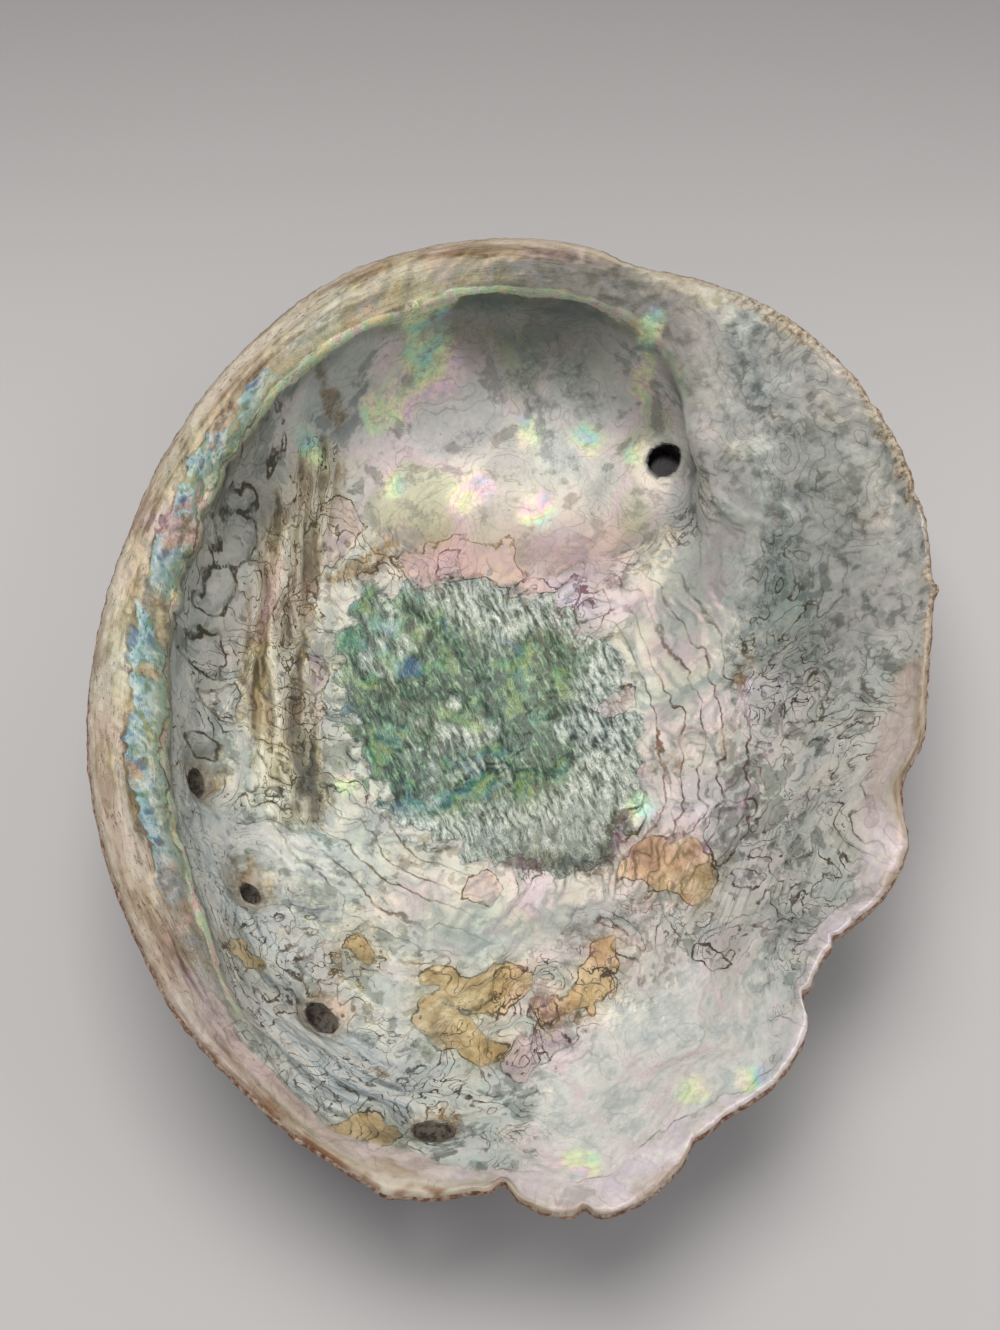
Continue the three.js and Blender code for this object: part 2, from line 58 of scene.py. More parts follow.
FOOT = [[0, 50.5, 16], [15, 53, 15.5], [30, 55.5, 15.5], [45, 58.5, 16], [53, 66, 14.5],
        [60, 77, 12.5], [66, 82.5, 12.5], [75, 83, 15], [90, 83, 19], [105, 80, 20], [120, 75, 20],
        [150, 65.5, 19], [180, 60, 18], [205, 60, 17.5], [220, 61.5, 18], [235, 65, 18.5],
        [250, 67.5, 17], [270, 66, 15.5], [290, 61.5, 14.5], [315, 51, 13.5], [345, 49, 15]]
WALL = [[0, 58.5, 22.5], [12, 61.5, 22.5], [30, 64.5, 23], [45, 65.5, 24.5], [53, 68, 25.5],
        [58, 76.5, 24.5], [63, 83.5, 25.5], [74, 89, 31], [90, 90.8, 35], [105, 87, 36],
        [120, 81.7, 36], [150, 71.5, 35], [180, 66, 33.5], [205, 67.5, 32.5], [220, 69.5, 31.5],
        [235, 74, 29.5], [250, 76.5, 26.5], [270, 75, 22.5], [280, 75, 21.5], [292, 69.5, 21],
        [303, 66, 20.5], [315, 58.5, 20], [330, 58.5, 21], [345, 57.5, 22]]
LEDGE_EDGE = [[0, 63, 29], [12, 67, 29.3], [30, 70.5, 30], [45, 71.5, 31], [54, 72.5, 32.5],
              [58, 74, 34.5], [62, 79, 37.5], [67, 85.3, 40.5], [74, 89.2, 43.2], [90, 90.8, 46.3],
              [104, 86.9, 47.8], [120, 82, 48], [134, 76, 48], [150, 70, 48], [165, 66, 47],
              [180, 64.4, 46.8], [195, 65.4, 46], [207, 67.2, 45.6], [220, 71, 44], [229, 76.5, 41],
              [240, 81.5, 36.8], [252, 82.5, 32.5], [270, 80.5, 28.3], [280, 81, 27.8],
              [292, 75.5, 27.5], [303, 72, 27.3], [315, 63.5, 27], [330, 64, 28], [345, 62.5, 29]]
LEDGE_TOP = [[0, 68.5, 35], [12, 72.5, 35.5], [30, 78.5, 37], [45, 81, 38.5], [54, 82.5, 40],
             [62, 87, 44], [74, 92.3, 47], [90, 94, 48.3], [105, 90, 49], [120, 85.5, 49.2],
             [150, 73.5, 49.2], [180, 68.8, 48.4], [205, 71, 47.6], [220, 74.5, 45.4],
             [235, 80.5, 40.5], [250, 85, 35.8], [270, 85, 32.8], [280, 86.5, 32.3],
             [292, 79, 31.5], [303, 76.5, 31.5], [315, 68, 32], [330, 68.5, 33.5], [345, 67, 34.5]]
INNER_LIP = [[0, 75.5, 41], [12, 79, 41.5], [30, 87.5, 43], [45, 91, 45.5], [54, 92.5, 47],
             [62, 94, 48.5], [74, 95, 49.6], [90, 97, 50.2], [105, 95, 50.4], [120, 89, 50.3],
             [150, 77.5, 50.3], [180, 73.5, 49.8], [205, 75.5, 49], [220, 78, 46.5],
             [235, 83, 42.5], [250, 88, 39], [270, 88.8, 36.8], [280, 91, 36.5], [292, 83.5, 35.8],
             [303, 82, 36.3], [315, 72.5, 36.8], [330, 73, 38.5], [345, 71, 39.5]]
OUTER_LIP = [[0, 76.5, 38.5], [30, 90.5, 41.5], [52, 97, 44], [75, 96.8, 45], [90, 99.8, 45],
             [120, 92.6, 45], [150, 80.8, 45], [180, 77.2, 44], [205, 79.2, 43.5],
             [227, 83.6, 40.5], [248, 88.4, 36], [260, 91, 34.8], [268, 89, 34.5], [279, 93, 33.8],
             [293, 85.5, 33.6], [302, 83.5, 34.5], [314, 75, 35], [329, 75.5, 36.5],
             [345, 72.3, 37.5]]
FLANK = [[0, 66.5, 22], [15, 71, 22.5], [30, 76, 23.5], [45, 81, 25], [60, 91.5, 26], [75, 95, 29],
         [90, 96.3, 30], [120, 88.5, 30], [150, 77.3, 29], [180, 73.3, 28.5], [205, 74.5, 27.5],
         [227, 77, 26], [248, 80.5, 22.5], [270, 80, 19.5], [285, 79, 18.8], [300, 73, 18.5],
         [315, 65.5, 18.5], [330, 65.5, 19.5], [345, 65, 21]]
SHOULDER = [[0, 56, 11.5], [15, 59, 11.2], [30, 64, 11], [45, 73, 10], [60, 85, 8.5], [75, 87, 11],
            [90, 85.5, 13.8], [120, 78, 14.2], [150, 68.5, 13.6], [180, 64, 13], [210, 63.5, 12.6],
            [235, 66.5, 13], [250, 68.5, 12], [270, 68, 10.8], [290, 63.5, 10], [315, 53.5, 9.6],
            [345, 53, 10.8]]
OLD_LIP_HEIGHTS = {
    0.72: [[0, 7.8], [30, 8], [45, 7.5], [60, 6.2], [75, 7.4], [90, 9], [120, 7.6], [150, 4.2],
           [180, 2.4], [210, 1.8], [235, 2], [270, 2.2], [290, 3], [315, 4.8], [345, 6.8]],
    0.45: [[0, 6.2], [30, 6.4], [45, 6], [60, 5], [75, 5.2], [90, 6.2], [120, 5.4], [150, 2.2],
           [180, 0.8], [210, -0.4], [235, -0.4], [270, 1.1], [290, 2.3], [315, 3.4], [345, 5]],
    0.2: [[0, 4.6], [45, 4.4], [75, 4], [90, 4], [120, 3.8], [150, 3.4], [180, 2.8], [210, 2.4],
          [235, 2.4], [270, 3], [315, 3.8]],
}
SPIRE = [35, 71, 1.8]
BOWL_BOTTOM = [0, 0, 6.2]
OUTLINE_MIDDLE = [2.12, 3, 0]
LIP_STATION, RIM_STATION, SHOULDER_STATION, SPIRE_STATION = 106.5, 108.8, 150, 220
LIP_ROUNDING, LIP_DROP, SKIN_STATION = 1.2, 1.6, 107.6


def hill(distance, reach):
    return np.exp(-((distance / reach) ** 2))


def gentle(value, low, high):
    share = np.clip((value - low) / (high - low), 0, 1)
    return share * share * (3 - 2 * share)


def turn_between(angle, other):
    return (angle - other + 180) % 360 - 180


AROUND = (-1, 0, 1, 2)


def smooth_between(places, near, i, place):
    """Smooth curve read at place, just after places[i]. Near holds the four values round there."""
    step = np.diff(places)
    h = [step[i + k][:, None] for k in (-1, 0, 1)]
    slope = [(near[k + 1] - near[k]) / h[k] for k in range(3)]
    leave = (slope[0] * h[1] + slope[1] * h[0]) / (h[0] + h[1])
    arrive = (slope[1] * h[2] + slope[2] * h[1]) / (h[1] + h[2])
    t = (place - places[i])[:, None] / h[1]
    share = 2 * t ** 3 - 3 * t ** 2 + 1
    bend = (t ** 3 - 2 * t ** 2 + t) * leave + (t ** 3 - t ** 2) * arrive
    return share * near[1] + (1 - share) * near[2] + h[1] * bend


def closed_curve(knots, angle):
    knots = np.array(knots, float)
    places = np.concatenate([knots[-2:, 0] - 360, knots[:, 0], knots[:3, 0] + 360])
    values = np.concatenate([knots[-2:, 1:], knots[:, 1:], knots[:3, 1:]])
    angle = angle % 360
    i = np.searchsorted(places, angle, side="right") - 1
    return smooth_between(places, [values[i + k] for k in AROUND], i, angle)


def from_polar(angle, distance, height):
    turn = np.radians(angle)
    return np.stack([distance * np.cos(turn), distance * np.sin(turn), height], -1)


def on_ring(knots, angle):
    distance, height = closed_curve(knots, angle).T
    return from_polar(angle, distance, height)


def old_lip(share, angle):
    plan = np.array(SPIRE[:2]) * (1 - share) + on_ring(SHOULDER, angle)[:, :2] * share
    return np.column_stack([plan, closed_curve(OLD_LIP_HEIGHTS[share], angle)])


def section_places(angle):
    """Stations, and where every section passes them. Past a pole it runs on into its opposite."""
    rim_distance, rim_height = closed_curve(RIM, angle).T
    for at, width, depth in BREAKS:
        rim_distance = rim_distance - depth * hill(turn_between(angle, at), width)
    ones = np.ones((len(angle), 1))
    after_shoulder = SPIRE_STATION - SHOULDER_STATION
    places = {-23: on_ring(HEART, angle + 180), 0: ones * BOWL_BOTTOM, 23: on_ring(HEART, angle),
              46: on_ring(FLOOR, angle), 66: on_ring(FOOT, angle), 81: on_ring(WALL, angle),
              92: on_ring(LEDGE_EDGE, angle), 98: on_ring(LEDGE_TOP, angle),
              103: on_ring(INNER_LIP, angle),
              LIP_STATION: from_polar(angle, rim_distance - LIP_ROUNDING, rim_height),
              RIM_STATION: from_polar(angle, rim_distance, rim_height - LIP_DROP),
              113: on_ring(OUTER_LIP, angle), 130: on_ring(FLANK, angle),
              SHOULDER_STATION: on_ring(SHOULDER, angle)}
    for share in OLD_LIP_HEIGHTS:
        places[SPIRE_STATION - after_shoulder * share] = old_lip(share, angle)
    places[SPIRE_STATION] = ones * SPIRE
    youngest = min(OLD_LIP_HEIGHTS)
    places[SPIRE_STATION + after_shoulder * youngest] = old_lip(youngest, angle + 180)
    return np.array(list(places)), np.array(list(places.values()))


def smooth_wall(angle, station):
    """Places on the wall before its bumps: a smooth section at each angle, read at the station."""
    angle, station = np.broadcast_arrays(np.asarray(angle, float), np.asarray(station, float))
    stations, places = section_places(angle)
    i = np.clip(np.searchsorted(stations, station, side="right") - 1, 1, len(stations) - 3)
    each = np.arange(len(angle))
    return smooth_between(stations, [places[i + k, each] for k in AROUND], i, station)


def outward(angle, station):
    angle, station = np.asarray(angle, float), np.asarray(station, float)
    here = smooth_wall(angle, station)
    around = smooth_wall(angle + 0.5, station) - here
    onward = smooth_wall(angle, station + 0.5) - here
    out = np.cross(onward, around)
    return out / np.linalg.norm(out, axis=1, keepdims=True)


# Places on the wall are written as [angle, station]: degrees round the bowl, and millimetres along
# a section from the bowl's bottom. The young pores are open, the older ones are sealed with nacre.
OPEN_PORES = [[188.5, 68.5, 2.3], [211, 63, 1.9], [238, 65, 2.9], [260, 86, 3]]
SEALED_PORES = [[139, 78], [145, 73], [154, 73], [163, 71], [173, 68]]
WORN_PORES = [[118, 78], [98, 76], [82, 72]]
FIBRE_RIDGE = [[124, 68], [133, 62], [144, 58], [156, 55], [170, 51], [184, 49], [193, 48]]
FURROW = [[245, 41], [260, 35], [277, 33], [302, 38], [320, 50], [331, 61]]
SPIRE_FOLD = [[57, 92], [55, 74], [57, 56], [61, 43]]
SCAR = [[133, 46], [121, 41], [102, 35], [80, 32], [54, 31], [32, 31], [358, 32], [340, 34],
        [307, 32], [285, 23], [249, 22], [223, 25], [195, 30], [166, 36], [147, 43]]
GROWTH_LEDGES = [118, 125, 133, 142, 151, 161, 172, 184, 196, 207]
LEDGE_STEP, LEDGE_RUN = 1.1, 11
PORE_DIMPLE, PORE_DIMPLE_REACH, SEALED_DIMPLE, SEALED_DIMPLE_REACH = 1.6, 5.5, 1.3, 4.5
RIDGE_RISE, RIDGE_REACH, FURROW_DEPTH, FURROW_REACH = 1.4, 4, 0.9, 5
SPIRE_FOLD_RISE, SPIRE_FOLD_REACH, SCAR_RISE, SCAR_EDGE = 0.8, 3.5, 0.7, 2.5
ROW_RISE, ROW_REACH, KNOB_RISE, KNOB_REACH = 1.2, 7, 1.6, 5
FOLD_COUNT, FOLD_RISE, FOLD_MIDDLE, FOLD_SPREAD = 13, 0.8, 315, 45
PORE_STRETCH, TUBE_RISE, TUBE_WALL, TUBE_ROOT, TUBE_REACH = 1.25, 3, 1.7, 4, 9


def places(spots):
    spots = np.array(spots, float)
    return smooth_wall(spots[:, 0], spots[:, 1])


def distance_to_path(points, path):
    nearest = np.full(len(points), np.inf)
    for start, end in zip(path[:-1], path[1:]):
        along = end - start
        share = np.clip((points - start) @ along / (along @ along), 0, 1)
        off = points - start - share[:, None] * along
        nearest = np.minimum(nearest, np.linalg.norm(off, axis=1))
    return nearest


def distance_to_spots(points, spots):
    return np.min([np.linalg.norm(points - spot, axis=1) for spot in spots], axis=0)


def depth_in_outline(points, outline):
    """Millimetres inside a closed outline seen from above, less than zero outside."""
    start, end = outline, np.roll(outline, -1, axis=0)
    nearest, crossings = np.full(len(points), np.inf), np.zeros(len(points), int)
    for (ax, ay), (bx, by) in zip(start[:, :2], end[:, :2]):
        along = np.array([bx - ax, by - ay])
        off = points[:, :2] - [ax, ay]
        share = np.clip(off @ along / (along @ along), 0, 1)
        nearest = np.minimum(nearest, np.linalg.norm(off - share[:, None] * along, axis=1))
        spans = (points[:, 1] < ay) != (points[:, 1] < by)
        with np.errstate(divide="ignore", invalid="ignore"):
            cross_x = ax + (points[:, 1] - ay) / (by - ay) * (bx - ax)
        crossings += spans & (points[:, 0] < cross_x)
    return np.where(crossings % 2 == 1, nearest, -nearest)


def pore_axis(angle, station):
    """Where a pore starts on the inside, which way it runs, and where it meets the back."""
    start, axis = smooth_wall([angle], [station])[0], -outward([angle], [station])[0]
    turns, backs = np.meshgrid(np.arange(-12, 13), np.arange(111, 196))
    spots = smooth_wall(angle + turns.ravel(), backs.ravel())
    reach = spots - start
    aside = np.linalg.norm(reach - np.outer(reach @ axis, axis), axis=1)
    return start, axis, spots[np.argmin(aside)]


open_pores = [(*pore_axis(angle, station), radius) for angle, station, radius in OPEN_PORES]
sealed_knobs = [pore_axis(*spot)[2] for spot in SEALED_PORES + WORN_PORES]
pore_row = [pore_axis(*spot)[2] for spot in WORN_PORES[::-1] + SEALED_PORES]
pore_row += [p[2] for p in open_pores]
open_mouths = [p[0] for p in open_pores]
scar_outline = places(SCAR)


def inside_rise(points):
    rise = -PORE_DIMPLE * hill(distance_to_spots(points, open_mouths), PORE_DIMPLE_REACH)
    off = distance_to_spots(points, places(SEALED_PORES))
    rise += -SEALED_DIMPLE * hill(off, SEALED_DIMPLE_REACH)
    for path, height, reach in ((FIBRE_RIDGE, RIDGE_RISE, RIDGE_REACH),
                                (FURROW, -FURROW_DEPTH, FURROW_REACH),
                                (SPIRE_FOLD, SPIRE_FOLD_RISE, SPIRE_FOLD_REACH)):
        rise += height * hill(distance_to_path(points, places(path)), reach)
    return rise + SCAR_RISE * gentle(depth_in_outline(points, scar_outline), -SCAR_EDGE, SCAR_EDGE)


def back_rise(points, angle, station):
    rise = ROW_RISE * hill(distance_to_path(points, np.array(pore_row)), ROW_REACH)
    rise += KNOB_RISE * hill(distance_to_spots(points, sealed_knobs), KNOB_REACH)
    since = np.min([np.where(station >= line, station - line, LEDGE_RUN) for line in GROWTH_LEDGES],
                   axis=0)
    room = np.linalg.norm(smooth_wall(angle, station + 1) - smooth_wall(angle, station), axis=1)
    return rise + LEDGE_STEP * np.minimum(room, 1) * (1 - np.minimum(since, LEDGE_RUN) / LEDGE_RUN)


def tube_rise(points, wall_end, axis, radius):
    """Height of the short tube that stands round an open pore on the back."""
    off = points - wall_end
    aside = np.linalg.norm(off - np.outer(off @ axis, axis), axis=1) / PORE_STRETCH
    outside = -radius - TUBE_WALL
    rise = TUBE_RISE * gentle(-aside, outside - TUBE_ROOT, outside)
    return np.where(np.abs(off @ axis) < TUBE_REACH, rise, 0)


def finished_wall(angle, station):
    points = smooth_wall(angle, station)
    from_lip, inside = np.abs(station - LIP_STATION), station < LIP_STATION
    folds = FOLD_RISE * hill(turn_between(angle, FOLD_MIDDLE), FOLD_SPREAD)
    folds = folds * np.sin(np.radians(FOLD_COUNT * angle)) * (1 - gentle(from_lip, 6, 36))
    rise = np.where(inside, inside_rise(points) + folds, back_rise(points, angle, station) - folds)
    rise = rise * gentle(from_lip, 2, 10)
    points = points + outward(angle, station) * rise[:, None]
    for _, axis, end, radius in open_pores:
        points = points + np.outer(tube_rise(points, end, axis, radius) * ~inside, axis)
    points[:, 2] = np.maximum(points[:, 2], 0)
    return points


# Rows of vertices from the bowl's middle to the spire, with more in a row where rings are longer.
ROW_BANDS = [(0.9, 10, 0.9, 60), (10, 24, 0.8, 150), (24, 44, 0.8, 300), (44, 60, 0.75, 450),
             (60, 106, 0.72, 600), (106, 109.6, 0.5, 600), (109.6, 120, 1, 450),
             (120, 165, 1.1, 350), (165, 200, 1.2, 220), (200, 219.5, 1.3, 100)]
rows = [(0.0, 1)]
for begin, stop, step, count in ROW_BANDS:
    rows += [(begin + step * k, count) for k in range(int(round((stop - begin) / step)))]
rows.append((float(SPIRE_STATION), 1))
row_start = np.cumsum([0] + [count for _, count in rows])
vert_angle = np.concatenate([np.arange(count) * 360 / count for _, count in rows])
vert_station = np.concatenate([np.full(count, station) for station, count in rows])
vert_place = finished_wall(vert_angle, vert_station)
vert_place[0] = BOWL_BOTTOM
vert_place[-1] = SPIRE

faces = []
for k, ((_, count), (_, next_count)) in enumerate(zip(rows[:-1], rows[1:])):
    first, second = row_start[k], row_start[k + 1]
    i = j = 0
    steps, next_steps = (count if count > 1 else 0), (next_count if next_count > 1 else 0)
    while i < steps or j < next_steps:
        here, there = first + i % count, second + j % next_count
        if j >= next_steps or (i < steps and (i + 1) * next_count <= (j + 1) * count):
            i += 1
            faces.append((here, there, first + i % count))
        else:
            j += 1
            faces.append((here, there, second + j % next_count))


# Marks of the nacre, where its layers are stained, worn through or laid bare. Each is a closed
# outline seen from above, in millimetres.
AMBER = [
    [[-18, -46], [-14.5, -45.5], [-9.5, -45.5], [-6, -45], [-1, -45.5], [4.5, -46], [4.5, -50],
     [1, -52.5], [-1.5, -53.5], [-4.5, -53], [-6, -54.5], [-10, -52.5], [-12, -52.5], [-14.5, -50],
     [-16.5, -49]],
    [[-18.5, -53], [-14.5, -52], [-10, -54], [-7.5, -56.5], [-4, -59], [-1.5, -61.5], [-2.5, -63.5],
     [-5.5, -64.5], [-9, -63.5], [-13.5, -61.5], [-16, -59.5], [-18, -56]],
    [[5.5, -53.5], [8, -51.5], [11.5, -50], [13, -47], [16, -44.5], [17.5, -42], [20.5, -39.5],
     [21.5, -42], [20, -45.5], [19, -48.5], [20.5, -49.5], [17.5, -51], [15, -54], [10.5, -53],
     [6.5, -57], [5, -55.5]],
    [[22, -25], [23, -22], [26.5, -20.5], [30.5, -19], [34.5, -17.5], [37, -20.5], [40.5, -25.5],
     [39, -31], [35.5, -32], [31.5, -29], [27.5, -28.5], [25, -27]],
    [[-32, -41], [-29.5, -39], [-26.5, -41.5], [-27, -43.5], [-30, -43.5], [-32.5, -42.5]],
    [[-52.5, -46.5], [-51, -45], [-48, -46.5], [-46, -48], [-48, -49.5], [-50.5, -49.5]],
    [[-33, -81], [-31, -78.5], [-26, -78], [-21, -79.5], [-19, -82], [-22.5, -83], [-27.5, -82]]]
PINK = [
    [[-1, -62], [1, -60.5], [3.5, -61], [5, -63.5], [5, -66.5], [2, -68], [0, -67], [-1.5, -65]],
    [[3.5, -57.5], [6, -57], [10.5, -58.5], [11.5, -61.5], [10, -64.5], [7, -68], [7, -64.5],
     [4.5, -60]],
    [[-9, -25.5], [-5, -24.5], [-1, -26.5], [-1.5, -29.5], [-3.5, -32.5], [-8, -32.5],
     [-11, -29.5]],
    [[-46, 20], [-42.5, 21.5], [-39, 21.5], [-38.5, 19], [-39, 15.5], [-45, 14.5], [-46.5, 16.5]],
    [[-45, 13.5], [-40, 14.5], [-39, 7.5], [-40.5, 5.5], [-43.5, 7]],
    [[-41, 54.5], [-37, 58.5], [-32.5, 55.5], [-31.5, 52.5], [-36, 46.5], [-39, 43], [-40.5, 37],
     [-43.5, 28.5], [-47, 26.5], [-48, 35.5], [-44, 45]],
    [[-24, 45.5], [-15, 50.5], [-10, 50], [0.5, 49.5], [2.5, 42], [-3, 41], [-10, 42.5],
     [-17, 40.5], [-23.5, 40]],
    [[-1, 40], [3.5, 41.5], [10, 40.5], [15.5, 42], [17, 41], [10, 38.5], [3.5, 38], [-2, 38]],
    [[29.5, 87], [33, 87], [36.5, 84.5], [33, 85], [30, 85.5]],
    [[-4, -47.5], [-1, -46.5], [3.5, -49.5], [1, -52], [-2, -52.5], [-4, -51]],
    [[19, 10.5], [21, 14], [25, 17], [26.5, 16], [25, 12], [23, 8.5], [20, 8]]]
CELLS = [
    [[-60, 41.5], [-57.5, 46], [-54.5, 47.5], [-54, 45], [-55, 40.5], [-58, 37], [-60.5, 35.5],
     [-61, 37]],
    [[-57.5, 48.5], [-55.5, 51.5], [-53.5, 53], [-53.5, 51.5], [-55, 48.5], [-57.5, 46.5],
     [-58.5, 47]],
    [[-63.5, 29], [-62, 34], [-58, 36.5], [-57, 34], [-58.5, 29], [-60.5, 26.5], [-63.5, 25.5],
     [-64, 26.5]],
    [[-65, 17.5], [-63.5, 22], [-60.5, 22.5], [-59.5, 18.5], [-60, 14.5], [-62.5, 13.5],
     [-64.5, 13.5], [-65, 15]],
    [[-62.5, 9.5], [-57, 13], [-56.5, 9], [-56.5, 5.5], [-59.5, 4.5], [-61.5, 7]],
    [[-63, -1.5], [-61, 0.5], [-59, -1], [-59, -3.5], [-61.5, -4.5], [-63, -4]]]
ISLANDS = [
    [[41.5, -14], [44.5, -11], [48, -11.5], [49, -14.5], [47.5, -19.5], [45.5, -23], [42, -25],
     [40, -23.5], [39.5, -19]],
    [[56.5, 8], [58.5, 10], [61.5, 11], [64, 11], [63, 6.5], [61, 2.5], [58.5, 1], [56, -1.5],
     [55.5, 2.5]],
    [[64, 34.5], [65.5, 35], [67, 33], [67.5, 27.5], [66.5, 23.5], [64.5, 22.5], [63.5, 26.5],
     [64.5, 30]],
    [[-16, 46.5], [-13.5, 48], [-10.5, 47], [-10, 42.5], [-10.5, 41], [-15.5, 40.5]],
    [[14.5, 39], [21, 39.5], [21.5, 35], [19.5, 30], [16.5, 26], [14, 25], [15, 32]],
    [[20, -15.5], [24, -13], [27.5, -11], [28.5, -12.5], [26.5, -16.5], [23, -18.5], [20.5, -17.5]],
    [[-51.5, 56], [-50, 57], [-48.5, 60], [-46.5, 62.5], [-46.5, 64], [-49, 61]],
    [[35, -44.5], [37.5, -42.5], [41, -44], [41.5, -47], [38.5, -48], [35.5, -46.5]]]
WATERY = [
    [[43.5, 12], [46.5, 17.5], [50, 22], [54, 27], [55.5, 25], [54, 19], [50.5, 14.5], [46, 11]],
    [[28.5, -2.5], [31, 2], [37.5, 5.5], [42.5, 6.5], [47.5, 8.5], [42.5, 3], [35.5, -1],
     [30, -5.5]],
    [[-6, -19.5], [-1, -19], [6.5, -20], [13.5, -22], [17.5, -20.5], [15, -17], [19.5, -11.5],
     [14.5, -9.5], [11, -15], [2.5, -16.5], [-6, -16.5]],
    [[10.5, -37], [21.5, -33], [32.5, -28], [35.5, -29.5], [29, -35], [21, -41], [13, -45],
     [9, -40.5]],
    [[-2.5, 86.5], [2, 87.5], [7.5, 84.5], [11.5, 80.5], [6.5, 81], [-1, 83.5]],
    [[11, 87], [16, 86.5], [19, 82.5], [18, 81], [15, 83], [12, 85]],
    [[44, 78], [49, 78], [56, 74], [57.5, 70], [49.5, 72.5], [45, 75]],
    [[66.5, 66], [77, 51], [77.5, 44.5], [73, 49.5], [68, 57]],
    [[-44, -28], [-41, -27], [-37.5, -29.5], [-32.5, -36], [-37, -39], [-42, -35]],
    [[49.5, -38], [57.5, -43], [54.5, -48], [50.5, -47.5], [48, -43]],
    [[54, 42.5], [57.5, 43], [59.5, 34.5], [55, 30.5], [51, 25], [46.5, 22.5], [50, 30.5]]]
CRUST = [
    [[-53, -24], [-50, -23], [-50, -28.5], [-51.5, -30], [-52.5, -29]],
    [[-51, -6.5], [-45.5, -2.5], [-42.5, -8.5], [-46.5, -10.5], [-50, -9]],
    [[-55.5, 8.5], [-51.5, 9], [-52.5, 5], [-55, 5.5]],
    [[-24.5, -66.5], [-22, -66.5], [-21.5, -70], [-23.5, -69.5]],
    [[54.5, 48.5], [56, 48], [56.5, 40.5], [55.5, 40.5]],
    [[46.5, 14.5], [50.5, 20], [51.5, 18], [47.5, 13]],
    [[5, -52.5], [13, -51], [12, -54.5], [11, -57.5], [6, -56.5]],
    [[-39, 41.5], [-36, 43.5], [-30.5, 45], [-25.5, 51], [-24.5, 45.5], [-29, 41.5], [-33, 39.5],
     [-37.5, 38]],
    [[-39.5, 70.5], [-35.5, 73], [-34, 72.5], [-37.5, 69.5]],
    [[-57, 21], [-54, 18.5], [-50, 27.5], [-49, 17], [-50, 10.5], [-55.5, 9]],
    [[-35, -44], [-32.5, -43], [-32, -48], [-33.5, -50]],
    [[-15, -76.5], [-13, -73], [-9.5, -76], [-9, -77.5], [-15.5, -77.5]]]
PALE = [
    [[14, -63], [18.5, -55], [28, -52], [33.5, -47], [37.5, -48], [38.5, -50.5], [40.5, -47.5],
     [45.5, -53], [46, -67.5], [43.5, -72.5], [34.5, -79.5], [26, -86.5], [15.5, -90], [9.5, -91],
     [5, -85.5], [5.5, -72.5], [10, -65.5]],
    [[-18, -28], [-6, -31], [6.5, -29], [16, -28], [21.5, -29], [13, -35.5], [4, -40.5],
     [-6, -43.5], [-16, -40]],
    [[33.5, 42.5], [43.5, 47.5], [49.5, 52.5], [51.5, 45], [48.5, 32.5], [43.5, 23], [40, 8],
     [34, 2], [29, 8], [29.5, 25], [24.5, 35]]]
STREAKED = [
    [[-66, 7], [-63, 11.5], [-61.5, 4], [-65, -2.5], [-63, -8], [-57.5, -18.5], [-53.5, -29.5],
     [-45, -37], [-39.5, -45], [-43, -55], [-50, -54.5], [-53, -48.5], [-59, -31.5], [-65, -11.5]],
    [[-47, -52.5], [-40, -56], [-30, -58], [-20.5, -66], [-17, -71.5], [-19.5, -79.5], [-32, -77],
     [-41.5, -68], [-45, -59]]]
SCRATCHED = [
    [[34, -17.5], [52, -13.5], [64.5, -23.5], [63.5, -33.5], [49.5, -39], [33, -43.5],
     [21.5, -38.5], [29, -28]]]
RIGHT_PLATE = [[52, 16], [62, 10], [74, 15], [73, 40], [66, 58], [56, 56], [52, 40]]
HOLLOW = [[-58, 42], [-30, 64], [-34, 55], [-20, 44], [0, 42], [20, 43], [36, 52], [42, 66],
          [40, 80], [20, 95], [-20, 95], [-52, 70]]
# Spots, as place from above and reach: teal parts of the muscle scar, and painted glints, spots of
# painted highlight.
TEAL = [[-20, 20, 14], [-22, 2, 12], [-8, 5, 14], [4, 2, 10], [8, 22, 8], [-28, 30, 8]]
PAINTED_GLINTS = [[-14, 84, 5], [-20, 83, 3.5], [-24, 77, 4], [-30, 74, 3.5], [-42, 64, 4], [-26, 62, 4.5],
          [-10, 60, 4.5], [-6, 64, 4], [5, 76, 5], [18, 75, 5], [29, 72, 4], [6, 58, 6],
          [30, 83, 3.5], [12, -85, 4.5], [32, -73, 4], [42, -72, 4], [27, -12, 4], [-34, -6, 4]]


RAGGED_SEED, WAVE_LENGTHS, WAVES_OF_EACH, WAVE_SHARE = 5, (16, 9, 6, 4, 2.8), 3, 0.055
FAR_OUTSIDE = -30.0


def ragged_plan(points, amount):
    """Places seen from above, shifted by crossing waves, so that outlines come out natural."""
    chance = np.random.default_rng(RAGGED_SEED)
    plan = points[:, :2].copy()
    for length in WAVE_LENGTHS:
        for _ in range(WAVES_OF_EACH):
            heading, start = chance.uniform(0, 2 * math.pi, 2)
            shift = chance.normal(size=2) * length * WAVE_SHARE * amount
            along = points[:, :2] @ [math.cos(heading), math.sin(heading)]
            plan += np.outer(np.sin(2 * math.pi / length * along + start), shift)
    return plan


def depth_in_any(outlines, amount=1.0):
    """Millimetres inside the nearest of the outlines, on the inner side of the wall alone."""
    depth = np.full(len(vert_place), FAR_OUTSIDE)
    plan = ragged_plan(vert_place[inner_side], amount)
    for outline in outlines:
        inside = depth_in_outline(plan, np.array(outline, float))
        depth[inner_side] = np.maximum(depth[inner_side], inside)
    return depth


def near_angle(angle, reach):
    return hill(turn_between(vert_angle, angle), reach)


